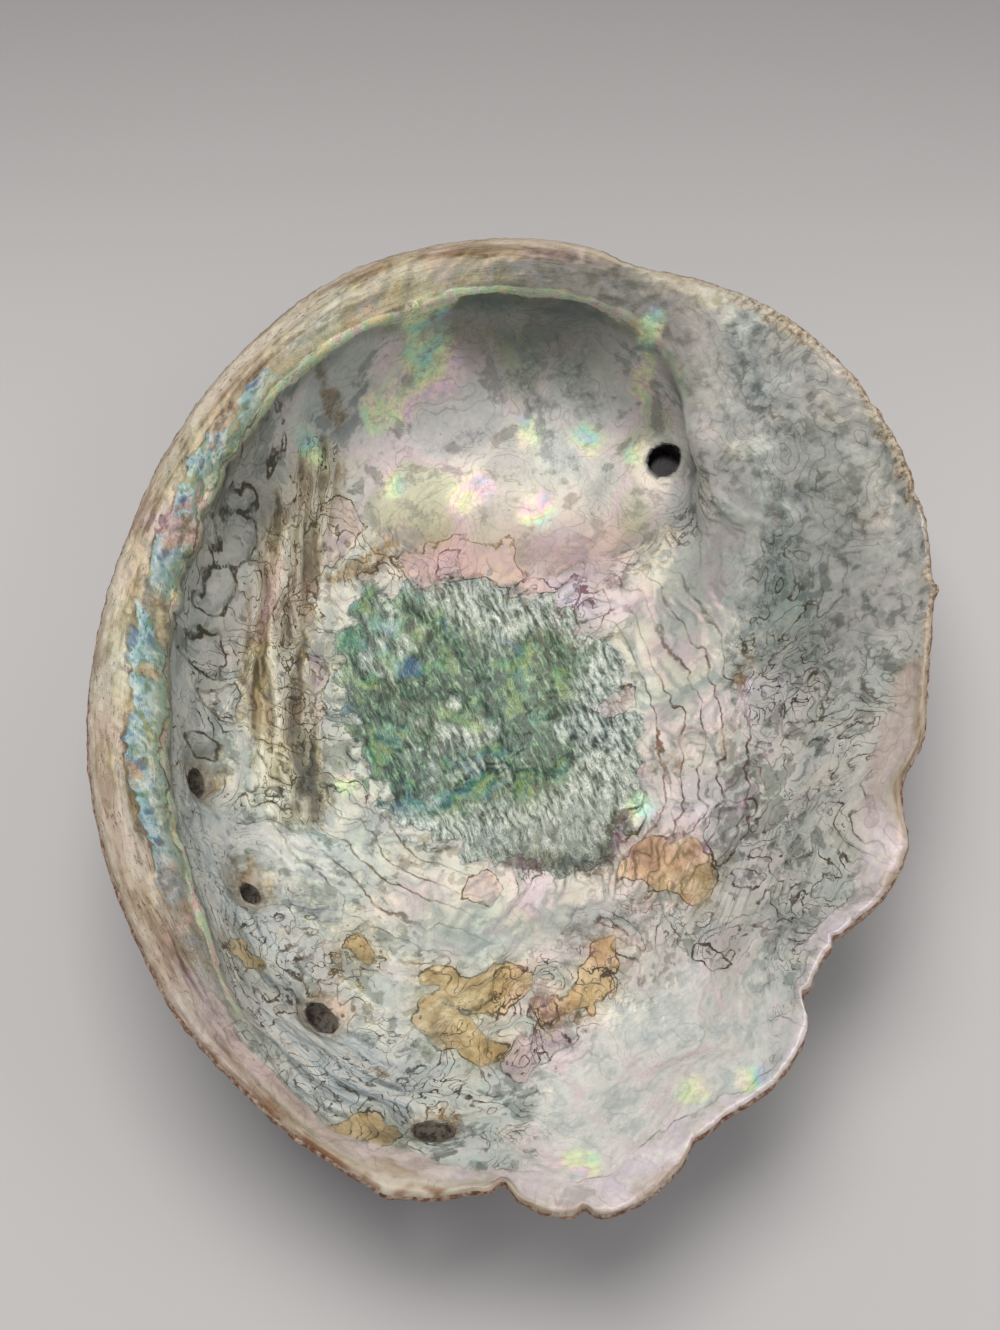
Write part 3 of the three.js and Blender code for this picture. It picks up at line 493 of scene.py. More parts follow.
def near_spots(spots):
    x, y = vert_place[:, 0], vert_place[:, 1]
    return np.sum([hill(np.hypot(x - a, y - b), reach) for a, b, reach in spots], axis=0)


wall = bpy.data.meshes.new("abalone shell wall")
wall.from_pydata((vert_place - OUTLINE_MIDDLE) * MM, [], faces)
wall.polygons.foreach_set("use_smooth", np.ones(len(faces), bool))


def keep_on_wall(name, values, kind="FLOAT"):
    """Keeps a number at every vertex, under a name that the relief and the finishes read."""
    field = "value" if kind == "FLOAT" else "vector"
    numbers = wall.attributes.new(name, kind, "POINT").data
    numbers.foreach_set(field, np.asarray(values, np.float32).ravel())


turn = np.radians(vert_angle)
inner_side = vert_station < LIP_STATION
# The tone of the holes is kept for each face: brown-grey for the pores' bores, and a painted shade
# for the deep pit. The wall has none, and the bores bring it later.
wall.attributes.new("pit", "FLOAT", "FACE")
keep_on_wall("station", vert_station)
keep_on_wall("round", np.stack([np.cos(turn), np.sin(turn), vert_station / 100], -1),
             "FLOAT_VECTOR")
keep_on_wall("scar", depth_in_outline(vert_place, scar_outline))
keep_on_wall("ledge", gentle(-np.abs(turn_between(vert_angle, 148)), -92, -74))
MARKS = {"amber": (AMBER, 0.8), "pink": (PINK,), "cells": (CELLS, 0.45), "islands": (ISLANDS, 0.7),
         "watery": (WATERY, 1.2), "crust": (CRUST,), "pale": (PALE,), "streaked": (STREAKED,),
         "scratched": (SCRATCHED,), "hollow": ([HOLLOW],),
         "greyed": ([PALE[1], PALE[2], RIGHT_PLATE],)}
for name, mark in MARKS.items():
    keep_on_wall(name, depth_in_any(*mark))
PIT_MOUTH, PIT_AXIS, PIT_DEPTH = np.array([34, 69, 17.0]), np.array([0.12, 0.2, -0.97]), 10
COLLAR_RADIUS, COLLAR_REACH = 4.8, 1.3
off_mouth = vert_place - PIT_MOUTH
off_axis = np.linalg.norm(off_mouth - np.outer(off_mouth @ PIT_AXIS, PIT_AXIS), axis=1)
keep_on_wall("collar", hill(off_axis - COLLAR_RADIUS, COLLAR_REACH) * inner_side)
keep_on_wall("pore", distance_to_spots(vert_place, open_mouths))
# Bands across the bowl, by how far back they lie, and then round it, by angle and reach in degrees.
keep_on_wall("deep_hollow", gentle(vert_place[:, 1], 44, 66))
# Painted shade at the back of the bowl, under the ledge and on its far side.
keep_on_wall("painted_ledge_shade", gentle(vert_place[:, 1], 82, 90))
keep_on_wall("arcs", near_angle(5, 55) + 0.9 * near_angle(225, 30))
keep_on_wall("teal", near_spots(TEAL))
keep_on_wall("low_edge", near_angle(300, 48))
keep_on_wall("strands", hill(distance_to_path(vert_place, places(FIBRE_RIDGE)), 7) * inner_side)
keep_on_wall("aqua", near_angle(176, 34) + 0.3 * near_angle(135, 20))
keep_on_wall("pitted", near_angle(35, 32) * gentle(vert_station, 101, 105))
keep_on_wall("lip_shift", 5 * near_angle(308, 34))
keep_on_wall("thin_lip", gentle(-np.abs(turn_between(vert_angle, 45)), -52, -30))
# Painted light: where the left wall of the bowl is painted paler.
keep_on_wall("painted_light_left_wall", near_angle(170, 45) * hill(vert_station - 82, 14) * inner_side)
keep_on_wall("rust", near_angle(285, 60))
# Painted highlight: how far each vertex lies inside a glint spot.
keep_on_wall("painted_glint", near_spots(PAINTED_GLINTS) * inner_side)
wall.update()
shell = bpy.data.objects.new("abalone_shell", wall)
bpy.context.scene.collection.objects.link(shell)


def add_node(kind, inputs=None, out=0, **settings):
    """Adds a node to the tree at hand. Values go straight into sockets, outputs are linked."""
    node = tree.nodes.new(kind)
    for name, value in settings.items():
        setattr(node, name, value)
    for socket, value in (inputs or {}).items():
        if isinstance(value, bpy.types.NodeSocket):
            tree.links.new(value, node.inputs[socket])
        else:
            node.inputs[socket].default_value = value
    return node.outputs[out]


def sum_of(operation, first, second=0.0, third=0.0):
    return add_node("ShaderNodeMath", {0: first, 1: second, 2: third}, operation=operation)


def times(*factors):
    product = factors[0]
    for factor in factors[1:]:
        product = sum_of("MULTIPLY", product, factor)
    return product


def plus(first, second):
    return sum_of("ADD", first, second)


def minus(first, second):
    return sum_of("SUBTRACT", first, second)


def less(share):
    return minus(1.0, share)


def times_plus(first, second, added):
    return sum_of("MULTIPLY_ADD", first, second, added)


def between(value, low, high, least=0.0, most=1.0):
    """Goes gently from least to most as the value goes from low to high."""
    return add_node("ShaderNodeMapRange", {0: value, 1: low, 2: high, 3: least, 4: most},
                    interpolation_type="SMOOTHSTEP")


def vectors(operation, first, second):
    return add_node("ShaderNodeVectorMath", {0: first, 1: second}, operation=operation)


def scaled(vector, scale):
    return vectors("MULTIPLY", vector, (scale,) * 3 if isinstance(scale, (int, float)) else scale)


def cloud(place, scale, detail=2.0, rough=0.5, bend=0.0, out=0):
    return add_node("ShaderNodeTexNoise", {"Vector": place, "Scale": scale, "Detail": detail,
                                           "Roughness": rough, "Distortion": bend}, out=out)


# Its fine relief grew with it: lip lines and weak ribs on the back, layers at the lip, and low
# lumps, stepped layers and muscle fibres inside. A rule of place on the wall raises all of them.
tree = relief = bpy.data.node_groups.new("relief grown on the shell", "GeometryNodeTree")
for side in ("OUTPUT", "INPUT"):
    relief.interface.new_socket("Geometry", in_out=side, socket_type="NodeSocketGeometry")
# Heights and depths are in millimetres.
RELIEF_SIZES = {"Growth line height": 0.55, "Growth lines per mm": 0.55, "Rib height": 0.5,
                "Back lump height": 0.9, "Nacre lump height": 0.6, "Scar fibre height": 0.7,
                "Strand height": 2.4, "Cell height": 0.9, "Cell groove depth": 0.45,
                "Layer step": 0.28, "Pore funnel depth": 1.6, "Pit collar height": 0.5,
                "Lip layer height": 0.6, "Rim roughness": 1.3, "Rim pit depth": 0.8}
for name, size in RELIEF_SIZES.items():
    socket = relief.interface.new_socket(name, in_out="INPUT", socket_type="NodeSocketFloat")
    socket.default_value = size
for name in ("Inside finish", "Outside finish"):
    relief.interface.new_socket(name, in_out="INPUT", socket_type="NodeSocketMaterial")
given = relief.nodes.new("NodeGroupInput").outputs


def on_wall(name, kind="FLOAT"):
    return add_node("GeometryNodeInputNamedAttribute", {"Name": name}, data_type=kind)


HALF = (0.5, 0.5, 0.5)
place_mm = scaled(add_node("GeometryNodeInputPosition"), 1 / MM)
way_round, station = on_wall("round", "FLOAT_VECTOR"), on_wall("station")
swirl = vectors("SUBTRACT", cloud(place_mm, 0.035, 3, out=1), HALF)
drift = vectors("ADD", place_mm, scaled(swirl, 34))
wobble = minus(cloud(place_mm, 0.06, 3), 0.5)
line_place = add_node("ShaderNodeCombineXYZ", {
    2: times(plus(station, times(wobble, 3)), given["Growth lines per mm"])})
line_place = vectors("ADD", line_place, scaled(way_round, (1.5, 1.5, 0)))
growth_lines = minus(cloud(line_place, 1, 2, 0.6), 0.5)
ribs = minus(cloud(scaled(way_round, (14, 14, 0.8)), 1, 1), 0.5)
lumps = minus(cloud(place_mm, 0.09, 4, 0.6), 0.5)
back = between(station, 110, 116)
back_height = times(growth_lines, given["Growth line height"])
back_height = plus(back_height, times(ribs, given["Rib height"]))
back_height = times_plus(lumps, given["Back lump height"], back_height)
spire_end = between(station, 200, 218, 1, 0)
back_height = times(back_height, times(back, spire_end))

inner = between(station, 98, 106, 1, 0)
outside_hollow = less(between(on_wall("hollow"), -4, 4))
nacre_lumps = minus(cloud(drift, 0.13, 3, 0.55), 0.5)
leaning = add_node("ShaderNodeVectorRotate", {"Vector": place_mm, "Angle": math.radians(-22)},
                   rotation_type="Z_AXIS")
bend = vectors("SUBTRACT", cloud(place_mm, 0.22, 3, 0.65, out=1), HALF)
fibre_place = vectors("ADD", scaled(leaning, (1.0, 0.26, 0.26)), scaled(bend, (3.0, 1.5, 0)))
fibres = minus(cloud(fibre_place, 0.66, 2, 0.6), 0.5)
in_scar = between(on_wall("scar"), -1.5, 2)
strand_place = vectors("ADD", scaled(place_mm, (0.36, 0.05, 0.05)), scaled(bend, (0.5, 0.5, 0)))
strand = cloud(strand_place, 1, 3, 0.55, 0.5)
strand_height = times(minus(strand, 0.5), on_wall("strands"), given["Strand height"])
cell_depth = on_wall("cells")
cell_rise = times(between(cell_depth, -0.4, 2.0), given["Cell height"])
cell_groove = times(between(sum_of("ABSOLUTE", cell_depth), 1.1, 0.1), given["Cell groove depth"])
worn_map = cloud(drift, 0.05, 3, 0.5)
MAP_STEP, MAP_MIDDLE, STEPS_IN_ALL = 0.055, 0.47, 18.0
steps = times(minus(sum_of("SNAP", worn_map, MAP_STEP), MAP_MIDDLE), STEPS_IN_ALL,
              given["Layer step"], outside_hollow)
funnel = times(between(on_wall("pore"), 9, 2.5), given["Pore funnel depth"])
inner_height = times(nacre_lumps, given["Nacre lump height"])
inner_height = times_plus(on_wall("collar"), given["Pit collar height"], inner_height)
inner_height = times_plus(times(fibres, in_scar), given["Scar fibre height"], inner_height)
inner_height = plus(plus(inner_height, strand_height), steps)
inner_height = plus(minus(inner_height, cell_groove), cell_rise)
inner_height = times(minus(inner_height, funnel), inner)

near_lip = times(between(station, 96, 104), between(station, 108, 112, 1, 0))
layer_place = scaled(way_round, (3, 3, 30))
layers = minus(cloud(layer_place, 1, 2, 0.5), 0.5)
pits = times(between(cloud(place_mm, 0.7, 1), 0.55, 0.68), on_wall("pitted"))
lip_height = times_plus(layers, given["Lip layer height"],
                        times(pits, times(given["Rim pit depth"], -1)))
rim_crust = minus(cloud(place_mm, 0.45, 3, 0.6), 0.5)
lip_height = times_plus(rim_crust, given["Rim roughness"], lip_height)
lip_height = times(lip_height, near_lip)

rise = plus(plus(back_height, inner_height), lip_height)
above_rest = between(add_node("ShaderNodeSeparateXYZ", {0: place_mm}, out=2), 0.05, 1.2)
rise = times(rise, above_rest, MM)
offset = add_node("ShaderNodeVectorMath", {0: add_node("GeometryNodeInputNormal"), "Scale": rise},
                  operation="SCALE")

# Slow changes of tone are kept on the wall as numbers, each a cloud of its own size.
CLOUDS = {"clouded": (drift, 0.3, 3, 0.65), "strand": (strand_place, 1, 3, 0.55, 0.5),
          "aqua_cloud": (scaled(way_round, (14, 14, 22)), 1, 4, 0.7, 0.6),
          "broad": (drift, 0.028, 2, 0.55), "middle": (drift, 0.11, 3, 0.6),
          "green": (drift, 0.05, 3, 0.6), "cast": (drift, 0.045, 2, 0.5),
          "worn_map": (drift, 0.05, 3, 0.5), "fine_map": (drift, 0.13, 3, 0.55),
          "broken": (place_mm, 0.06, 2, 0.5), "patchy": (place_mm, 0.07, 3, 0.6),
          "bright": (place_mm, 0.2, 2, 0.5), "slow": (drift, 0.09, 2, 0.5),
          "wander": (scaled(way_round, (6, 6, 12)), 1, 3, 0.6)}
toned = {name: (cloud(*sizes), "FLOAT") for name, sizes in CLOUDS.items()}
toned["fibre_place"] = (fibre_place, "FLOAT_VECTOR")
grown = given["Geometry"]
for name, (value, kind) in toned.items():
    grown = add_node("GeometryNodeStoreNamedAttribute",
                     {"Geometry": grown, "Name": name, "Value": value},
                     data_type=kind, domain="POINT")
grown = add_node("GeometryNodeSetPosition", {"Geometry": grown, "Offset": offset})
grown = add_node("GeometryNodeRealizeInstances", {"Geometry": grown})
grown = add_node("GeometryNodeSetMaterial", {"Geometry": grown, "Material": given["Inside finish"]})
on_back = add_node("FunctionNodeCompare", {"A": station, "B": SKIN_STATION}, data_type="FLOAT",
                   operation="GREATER_THAN")
grown = add_node("GeometryNodeSetMaterial",
                 {"Geometry": grown, "Selection": on_back, "Material": given["Outside finish"]})
relief.links.new(grown, relief.nodes.new("NodeGroupOutput").inputs[0])

nacre = bpy.data.materials.new("silvery nacre")
skin = bpy.data.materials.new("worn outer skin")
growing = shell.modifiers.new("relief", "NODES")
growing.node_group = relief
chosen = {**RELIEF_SIZES, "Inside finish": nacre, "Outside finish": skin}
for socket in relief.interface.items_tree:
    if socket.name in chosen:
        growing[socket.identifier] = chosen[socket.name]


# The holes: the pores the animal breathed through, each a short bore wider along the row than
# across it, and the deep pit that runs from the bowl into the spire.
HOLE_SIDES, HOLE_RINGS, HOLE_SEED = 40, 14, 7
PORE_INSIDE, PORE_OUTSIDE = 4, 7
PIT_RADIUS, PIT_END_RADIUS, PIT_ROUGH = 4.0, 3.2, 0.12
PORE_BORE_TONE, PIT_PAINTED_SHADE = 0.5, 1.0


def hole_cutter(name, start, end, radii, stretch, bore_tone_and_pit_shade, rough=0.0):
    """A round bar as wide as the hole. Its number stays on the faces that it cuts: the finish
    paints a pore's bore brown-grey and the pit's inside with painted shade.
    """
    sides, rings = HOLE_SIDES, HOLE_RINGS
    axis = (end - start) / np.linalg.norm(end - start)
    across = np.cross(axis, [0, 0, 1.0])
    across = across / np.linalg.norm(across)
    other = np.cross(axis, across)
    lumps = np.random.default_rng(HOLE_SEED).normal(size=(rings + 1, sides)) * rough
    verts, quads = [], []
    for k in range(rings + 1):
        middle = start + (end - start) * k / rings
        radius = radii[0] + (radii[1] - radii[0]) * k / rings
        for side in range(sides):
            angle = 2 * math.pi * side / sides
            outwards = stretch * math.cos(angle) * across + math.sin(angle) * other
            verts.append(middle + (radius + lumps[k, side]) * outwards)
            if k < rings:
                here, there = k * sides + side, k * sides + (side + 1) % sides
                quads.append((here, there, there + sides, here + sides))
    quads.append(tuple(reversed(range(sides))))
    quads.append(tuple(rings * sides + side for side in range(sides)))
    mesh = bpy.data.meshes.new(name)
    mesh.from_pydata((np.array(verts) - OUTLINE_MIDDLE) * MM, [], quads)
    mesh.update()
    mesh.materials.append(nacre)
    shade = mesh.attributes.new("pit", "FLOAT", "FACE").data
    shade.foreach_set("value", np.full(len(quads), bore_tone_and_pit_shade, np.float32))
    cutter = bpy.data.objects.new(name, mesh)
    bpy.context.scene.collection.objects.link(cutter)
    return cutter


cutters = []
for k, (start, axis, end, radius) in enumerate(open_pores):
    inner_end, outer_end = start - axis * PORE_INSIDE, end + axis * PORE_OUTSIDE
    cutters.append(hole_cutter(f"pore {k + 1}", inner_end, outer_end, (radius, radius),
                               PORE_STRETCH, PORE_BORE_TONE))
cutters.append(hole_cutter("spire pit", PIT_MOUTH, PIT_MOUTH + PIT_AXIS * PIT_DEPTH,
                           (PIT_RADIUS, PIT_END_RADIUS), 1.0, PIT_PAINTED_SHADE, PIT_ROUGH))
for cutter in cutters:
    boring = shell.modifiers.new(cutter.name, "BOOLEAN")
    boring.operation, boring.solver, boring.object = "DIFFERENCE", "MANIFOLD", cutter
    cutter.hide_render = True
bpy.context.view_layer.update()
finished = shell.evaluated_get(bpy.context.evaluated_depsgraph_get())
shell_mesh = bpy.data.meshes.new_from_object(finished)
shell_mesh.name = "abalone_shell"
shell.modifiers.clear()
shell.data = shell_mesh
for cutter in cutters:
    bpy.data.objects.remove(cutter)
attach(shell, "root")
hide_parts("shell")


# Nacre, the pearly lining: thin glassy layers over one another, pale silver with grey, green and
# pink cast, whose worn edges show as fine dark outlines like those on a map.
def paint(red, green, blue):
    """A colour as a painter reads it, 0 to 255 a channel, as the light it gives back."""
    share = np.array([red, green, blue]) / 255
    light = np.where(share <= 0.04045, share / 12.92, ((share + 0.055) / 1.055) ** 2.4)
    return (*light, 1.0)


def blended(share, first, second, mode="MIX"):
    return add_node("ShaderNodeMix", {0: share, 6: first, 7: second}, out=2,
                    data_type="RGBA", blend_type=mode)


def tones(value, stops):
    """Runs through colours, each given as the value it stands at and its red, green and blue."""
    node = tree.nodes.new("ShaderNodeValToRGB")
    while len(node.color_ramp.elements) < len(stops):
        node.color_ramp.elements.new(0.5)
    for element, (place, *colour) in zip(node.color_ramp.elements, stops):
        element.position, element.color = place, paint(*colour)
    tree.links.new(value, node.inputs[0])
    return node.outputs[0]


OBJECT_PLACE = 3


def kept(name, out=2):
    """A number kept on the wall, or with out=1 a place."""
    return add_node("ShaderNodeAttribute", attribute_type="GEOMETRY", attribute_name=name, out=out)


def greater(first, *others):
    for other in others:
        first = sum_of("MAXIMUM", first, other)
    return first


def contour(value, every, width):
    """A thin line wherever value passes a multiple of every. The width is a share of the step."""
    near = sum_of("PINGPONG", value, every / 2)
    return between(near, every * width * 0.5, every * width * 1.5, 1, 0)


def edge_line(depth, half_width, at=0.0):
    off = sum_of("ABSOLUTE", minus(depth, at))
    return between(off, half_width * 0.4, half_width, 1, 0)


nacre.use_nodes = True
tree = nacre.node_tree
spot = scaled(add_node("ShaderNodeTexCoord", out=OBJECT_PLACE), 1 / MM)
flow = kept("round", 1)
station = kept("station")
scar = kept("scar")
ledge_side = kept("ledge")
hollow = between(kept("hollow"), -6, 6)

broad = kept("broad")
fine = cloud(spot, 0.7, 3, 0.65)
ragged = minus(cloud(spot, 0.36, 3, 0.65), 0.5)


def marked(name, strength=2.6):
    """A kept number with a ragged edge."""
    return times_plus(ragged, strength, kept(name))


middle = marked("middle", 0.4)
streaks = cloud(scaled(flow, (3.5, 3.5, 34)), 1, 4, 0.65)
worn_map = marked("worn_map", 0.04)
fine_map = marked("fine_map", 0.12)
patchy = between(kept("patchy"), 0.42, 0.54)
FINE_STEP = 0.085


def plates(value, step, spread):
    """A number from 0 to 1 that is the same all over each layer laid bare between two contours."""
    return sum_of("FRACT", times(sum_of("SNAP", value, step), spread))


colour = tones(broad, [(0.34, 180, 186, 180), (0.45, 196, 202, 194), (0.54, 208, 206, 192),
                       (0.64, 206, 192, 184)])
colour = blended(0.5, colour, tones(plates(worn_map, MAP_STEP, 41.3), [
    (0.0, 170, 175, 171), (0.25, 212, 216, 210), (0.5, 188, 196, 184), (0.75, 216, 206, 204)]))
colour = blended(times(patchy, 0.4), colour, tones(plates(fine_map, FINE_STEP, 23.7), [
    (0.0, 152, 158, 154), (0.3, 220, 222, 214), (0.6, 178, 184, 170), (0.85, 206, 192, 190)]))
green_cast = between(kept("green"), 0.52, 0.66)
colour = blended(times(green_cast, 0.3), colour, paint(150, 176, 160))
watery = between(middle, 0.445, 0.4)
colour = blended(times(watery, 0.68), colour, paint(166, 172, 169), "MULTIPLY")
clouded = between(marked("clouded", 0.3), 0.44, 0.405)
colour = blended(times(clouded, 0.58), colour, paint(146, 152, 148), "MULTIPLY")
cream = between(middle, 0.565, 0.6)
colour = blended(times(cream, 0.5), colour, paint(226, 220, 206))
greyed = between(marked("greyed", 8.0), -4, 4)
pale = between(marked("pale", 6.0), -6, 2)
colour = blended(times(pale, 0.82), colour, tones(middle, [
    (0.36, 212, 216, 210), (0.5, 234, 231, 221), (0.62, 234, 216, 216)]))
colour = blended(times(greyed, 0.9), colour, paint(200, 208, 206), "MULTIPLY")
streaked = between(marked("streaked", 6.0), -3, 3)
colour = blended(times(streaked, 0.75), colour, tones(streaks, [
    (0.34, 88, 92, 92), (0.43, 160, 168, 172), (0.52, 214, 218, 214),
    (0.6, 222, 216, 204), (0.68, 176, 160, 134)]))
# Painted light: the left wall of the bowl is painted paler.
colour = blended(times(kept("painted_light_left_wall"), 0.45), colour, paint(226, 224, 214))

# In the hollow under the ledge the layers lie whole: smooth grey with pink and olive cast.
hollow_tone = tones(kept("cast"), [
    (0.36, 190, 194, 192), (0.48, 222, 220, 214), (0.56, 234, 216, 218),
    (0.66, 206, 208, 184)])
hollow_tone = blended(times(less(kept("deep_hollow")), 0.9), hollow_tone, paint(158, 146, 132),
                      "MULTIPLY")
# Painted shadow of the ledge: the hollow is painted darker at the back, under the ledge.
hollow_tone = blended(kept("painted_ledge_shade"), hollow_tone, paint(150, 154, 150), "MULTIPLY")
hollow_tone = blended(times(between(middle, 0.47, 0.37), 0.6), hollow_tone,
                      paint(118, 122, 126))
colour = blended(times(hollow, 0.85), colour, hollow_tone)

# Outlines of worn layers: two families of contours that break off here and there.
broken = between(kept("broken"), 0.36, 0.5)
map_lines = times(contour(worn_map, MAP_STEP, 0.068), broken)
squiggles = times(contour(fine_map, FINE_STEP, 0.055), patchy)
arc_depth = times_plus(ragged, 1.6, times_plus(kept("slow"), 9, scar))
arcs = times(contour(arc_depth, 4.2, 0.055), kept("arcs"))
arcs = times(arcs, between(scar, -25, -21), between(scar, 0, -1))
open_field = times(less(times(hollow, 0.75)), less(times(pale, 0.85)),
                   less(times(between(kept("arcs"), 0.3, 0.7), between(scar, -24, -20), 0.8)))
lines = greater(times(greater(map_lines, squiggles), open_field), arcs)

# The muscle scar: short upright scales in teal, green, blue and cream, each with a dark edge.
scar_edge = times_plus(ragged, 10.0, scar)
scar_edge = times_plus(minus(kept("bright"), 0.5), 16.0, scar_edge)
in_scar = between(scar_edge, -1.0, 0.8)
fibre = cloud(kept("fibre_place", 1), 1.0, 3, 0.62)
scales = minus(fibre, sum_of("PINGPONG", fibre, 0.03))
scar_tone = tones(scales, [(0.36, 46, 56, 54), (0.43, 122, 136, 128), (0.5, 182, 190, 180),
                           (0.6, 228, 230, 220)])
deep_tone = tones(scales, [(0.36, 6, 18, 20), (0.44, 26, 52, 44), (0.5, 44, 90, 70),
                           (0.57, 96, 134, 98), (0.66, 176, 190, 160)])
teal = kept("teal")
deep = times(between(kept("patchy"), 0.37, 0.46), between(teal, 0.2, 0.65))
scar_tone = blended(deep, scar_tone, deep_tone)
jewel = tones(kept("slow"), [(0.36, 60, 110, 170), (0.43, 50, 150, 150), (0.5, 100, 168, 100),
                             (0.57, 176, 196, 110), (0.64, 80, 150, 130)])
scar_tone = blended(times(between(kept("bright"), 0.5, 0.58), between(teal, 0.15, 0.6), 0.5),
                    scar_tone, jewel)
colour = blended(times(in_scar, 0.93), colour, scar_tone)
scar_lines = times(contour(fibre, 0.06, 0.13), between(fine, 0.36, 0.48), in_scar)
scar_shadow = times(edge_line(times_plus(ragged, 8.0, scar), 3.4, 0.5),
                    between(kept("low_edge"), 0.3, 0.8), 0.8)
colour = blended(scar_shadow, colour, tones(fine, [(0.42, 30, 36, 38), (0.56, 96, 104, 98),
                                                   (0.64, 170, 172, 160)]))

# Pink, amber and watery marks, each with a ragged edge and most with a thin brown outline.
pink, amber, cells = marked("pink"), marked("amber"), marked("cells", 1.2)
colour = blended(times(between(marked("watery", 7), -2.5, 2.5), 0.7), colour,
                 tones(fine, [(0.38, 98, 106, 106), (0.6, 160, 166, 162)]))
colour = blended(times(between(pink, -0.8, 1.2), 0.6), colour,
                 tones(middle, [(0.4, 190, 164, 172), (0.6, 208, 176, 160)]))
colour = blended(times(between(amber, -5, 0), 0.4), colour, tones(fine, [
    (0.4, 140, 128, 96), (0.6, 196, 182, 146)]))
colour = blended(times(between(amber, -0.9, 0.2), 0.8), colour,
                 tones(middle, [(0.36, 132, 104, 60), (0.5, 184, 152, 98), (0.62, 214, 188, 142)]))
colour = blended(times(between(cells, -0.3, 1.6), 0.5), colour, paint(206, 204, 198))
colour = blended(times(between(marked("crust", 4), -1.0, 1.2), 0.8), colour,
                 tones(fine, [(0.36, 70, 56, 42), (0.5, 124, 100, 76), (0.64, 168, 148, 116)]))
strand = marked("strand", 0.08)
on_ridge = between(marked("strands", 0.8), 0.2, 0.5)
colour = blended(times(on_ridge, 0.8), colour, tones(strand, [
    (0.38, 66, 56, 40), (0.44, 122, 110, 84), (0.5, 178, 168, 142), (0.6, 210, 206, 190)]))
lines = greater(lines, times(contour(strand, 0.07, 0.08), on_ridge))
outlines = greater(edge_line(pink, 0.32), edge_line(amber, 0.34, -0.5),
                   edge_line(marked("islands", 2.0), 0.38), edge_line(cells, 0.38, -0.2))
lines = greater(times(lines, less(in_scar)), outlines)
colour = blended(times(scar_lines, 0.88), colour, paint(24, 32, 30))

# The broad ledge: brown and cream streaks outside, then aqua, green and lilac, and a painted
# highlight along its edge, with painted shade below it and on its far side.
wander = times_plus(minus(kept("wander"), 0.5), 9, station)
wander = times_plus(ragged, 1.5, wander)
ledge_tone = tones(streaks, [
    (0.34, 98, 84, 66), (0.42, 142, 128, 106), (0.5, 182, 172, 152),
    (0.58, 202, 194, 180), (0.68, 150, 138, 120)])
ledge_tone = blended(times(between(wander, 101.5, 98.5), 0.6), ledge_tone, tones(middle, [
    (0.4, 128, 124, 98), (0.46, 170, 158, 136), (0.52, 146, 154, 128),
    (0.57, 150, 162, 166), (0.63, 192, 176, 158)]))
aqua_place = marked("aqua_cloud", 0.2)
aqua = tones(aqua_place, [
    (0.36, 88, 116, 150), (0.43, 120, 160, 176), (0.49, 186, 212, 214),
    (0.55, 130, 176, 178), (0.6, 124, 150, 112), (0.68, 168, 156, 170)])
band_edge = times_plus(minus(kept("aqua_cloud"), 0.5), 9, wander)
aqua_band = times(between(band_edge, 92.4, 93), between(band_edge, 100.6, 100))
aqua_band = times(aqua_band, between(kept("aqua"), 0.15, 0.5))
aqua = blended(times(between(band_edge, 97, 93.5), 0.65), aqua, paint(156, 172, 134))
aqua = blended(times(between(kept("slow"), 0.53, 0.58), 0.8), aqua, tones(fine, [
    (0.4, 142, 118, 92), (0.6, 190, 172, 148)]))
ledge_tone = blended(aqua_band, ledge_tone, aqua)
ledge_tone = blended(times(between(wander, 99.5, 96), 0.9), ledge_tone, paint(224, 226, 224),
                     "MULTIPLY")
# Painted shade: the far part of the ledge takes a darker copy of its tones than the near part.
lit_near_ledge, shaded_far_ledge = [blended(1.0, ledge_tone, paint(*shade), "MULTIPLY")
                       for shade in ((238, 238, 238), (216, 220, 222))]
ledge_tone = blended(kept("painted_ledge_shade"), lit_near_ledge, shaded_far_ledge)
# Painted highlight: a bright band of pale gold, green and pink along the ledge's inner edge.
painted_edge_highlight = times(between(wander, 89, 90.4), between(wander, 93.6, 92.4))
painted_edge_highlight = times(painted_edge_highlight, less(times(kept("aqua"), 0.8)))
ledge_tone = blended(times(painted_edge_highlight, 0.8), ledge_tone, tones(kept("bright"), [
    (0.38, 244, 228, 176), (0.46, 196, 232, 184), (0.54, 236, 238, 214),
    (0.62, 246, 210, 196)]))
on_ledge = times(between(wander, 89.6, 90.2), ledge_side)
# Painted shade on the wall just below the ledge's edge, where the ledge overhangs.
painted_shade_below_edge = times(between(wander, 84, 89), ledge_side)
colour = blended(times(painted_shade_below_edge, 0.6), colour, paint(132, 138, 130), "MULTIPLY")
colour = blended(on_ledge, colour, ledge_tone)
band_lines = greater(edge_line(band_edge, 0.5, 92.6), edge_line(band_edge, 0.6, 100.4))
band_lines = times(band_lines, between(kept("aqua"), 0.15, 0.5))
aqua_lines = times(contour(aqua_place, 0.07, 0.06), between(wander, 102, 99), 0.7)
band_lines = greater(band_lines, aqua_lines)
ledge_lines = times(greater(contour(streaks, 0.09, 0.05), band_lines), on_ledge, 0.8)
lines = greater(times(lines, less(on_ledge)), ledge_lines)

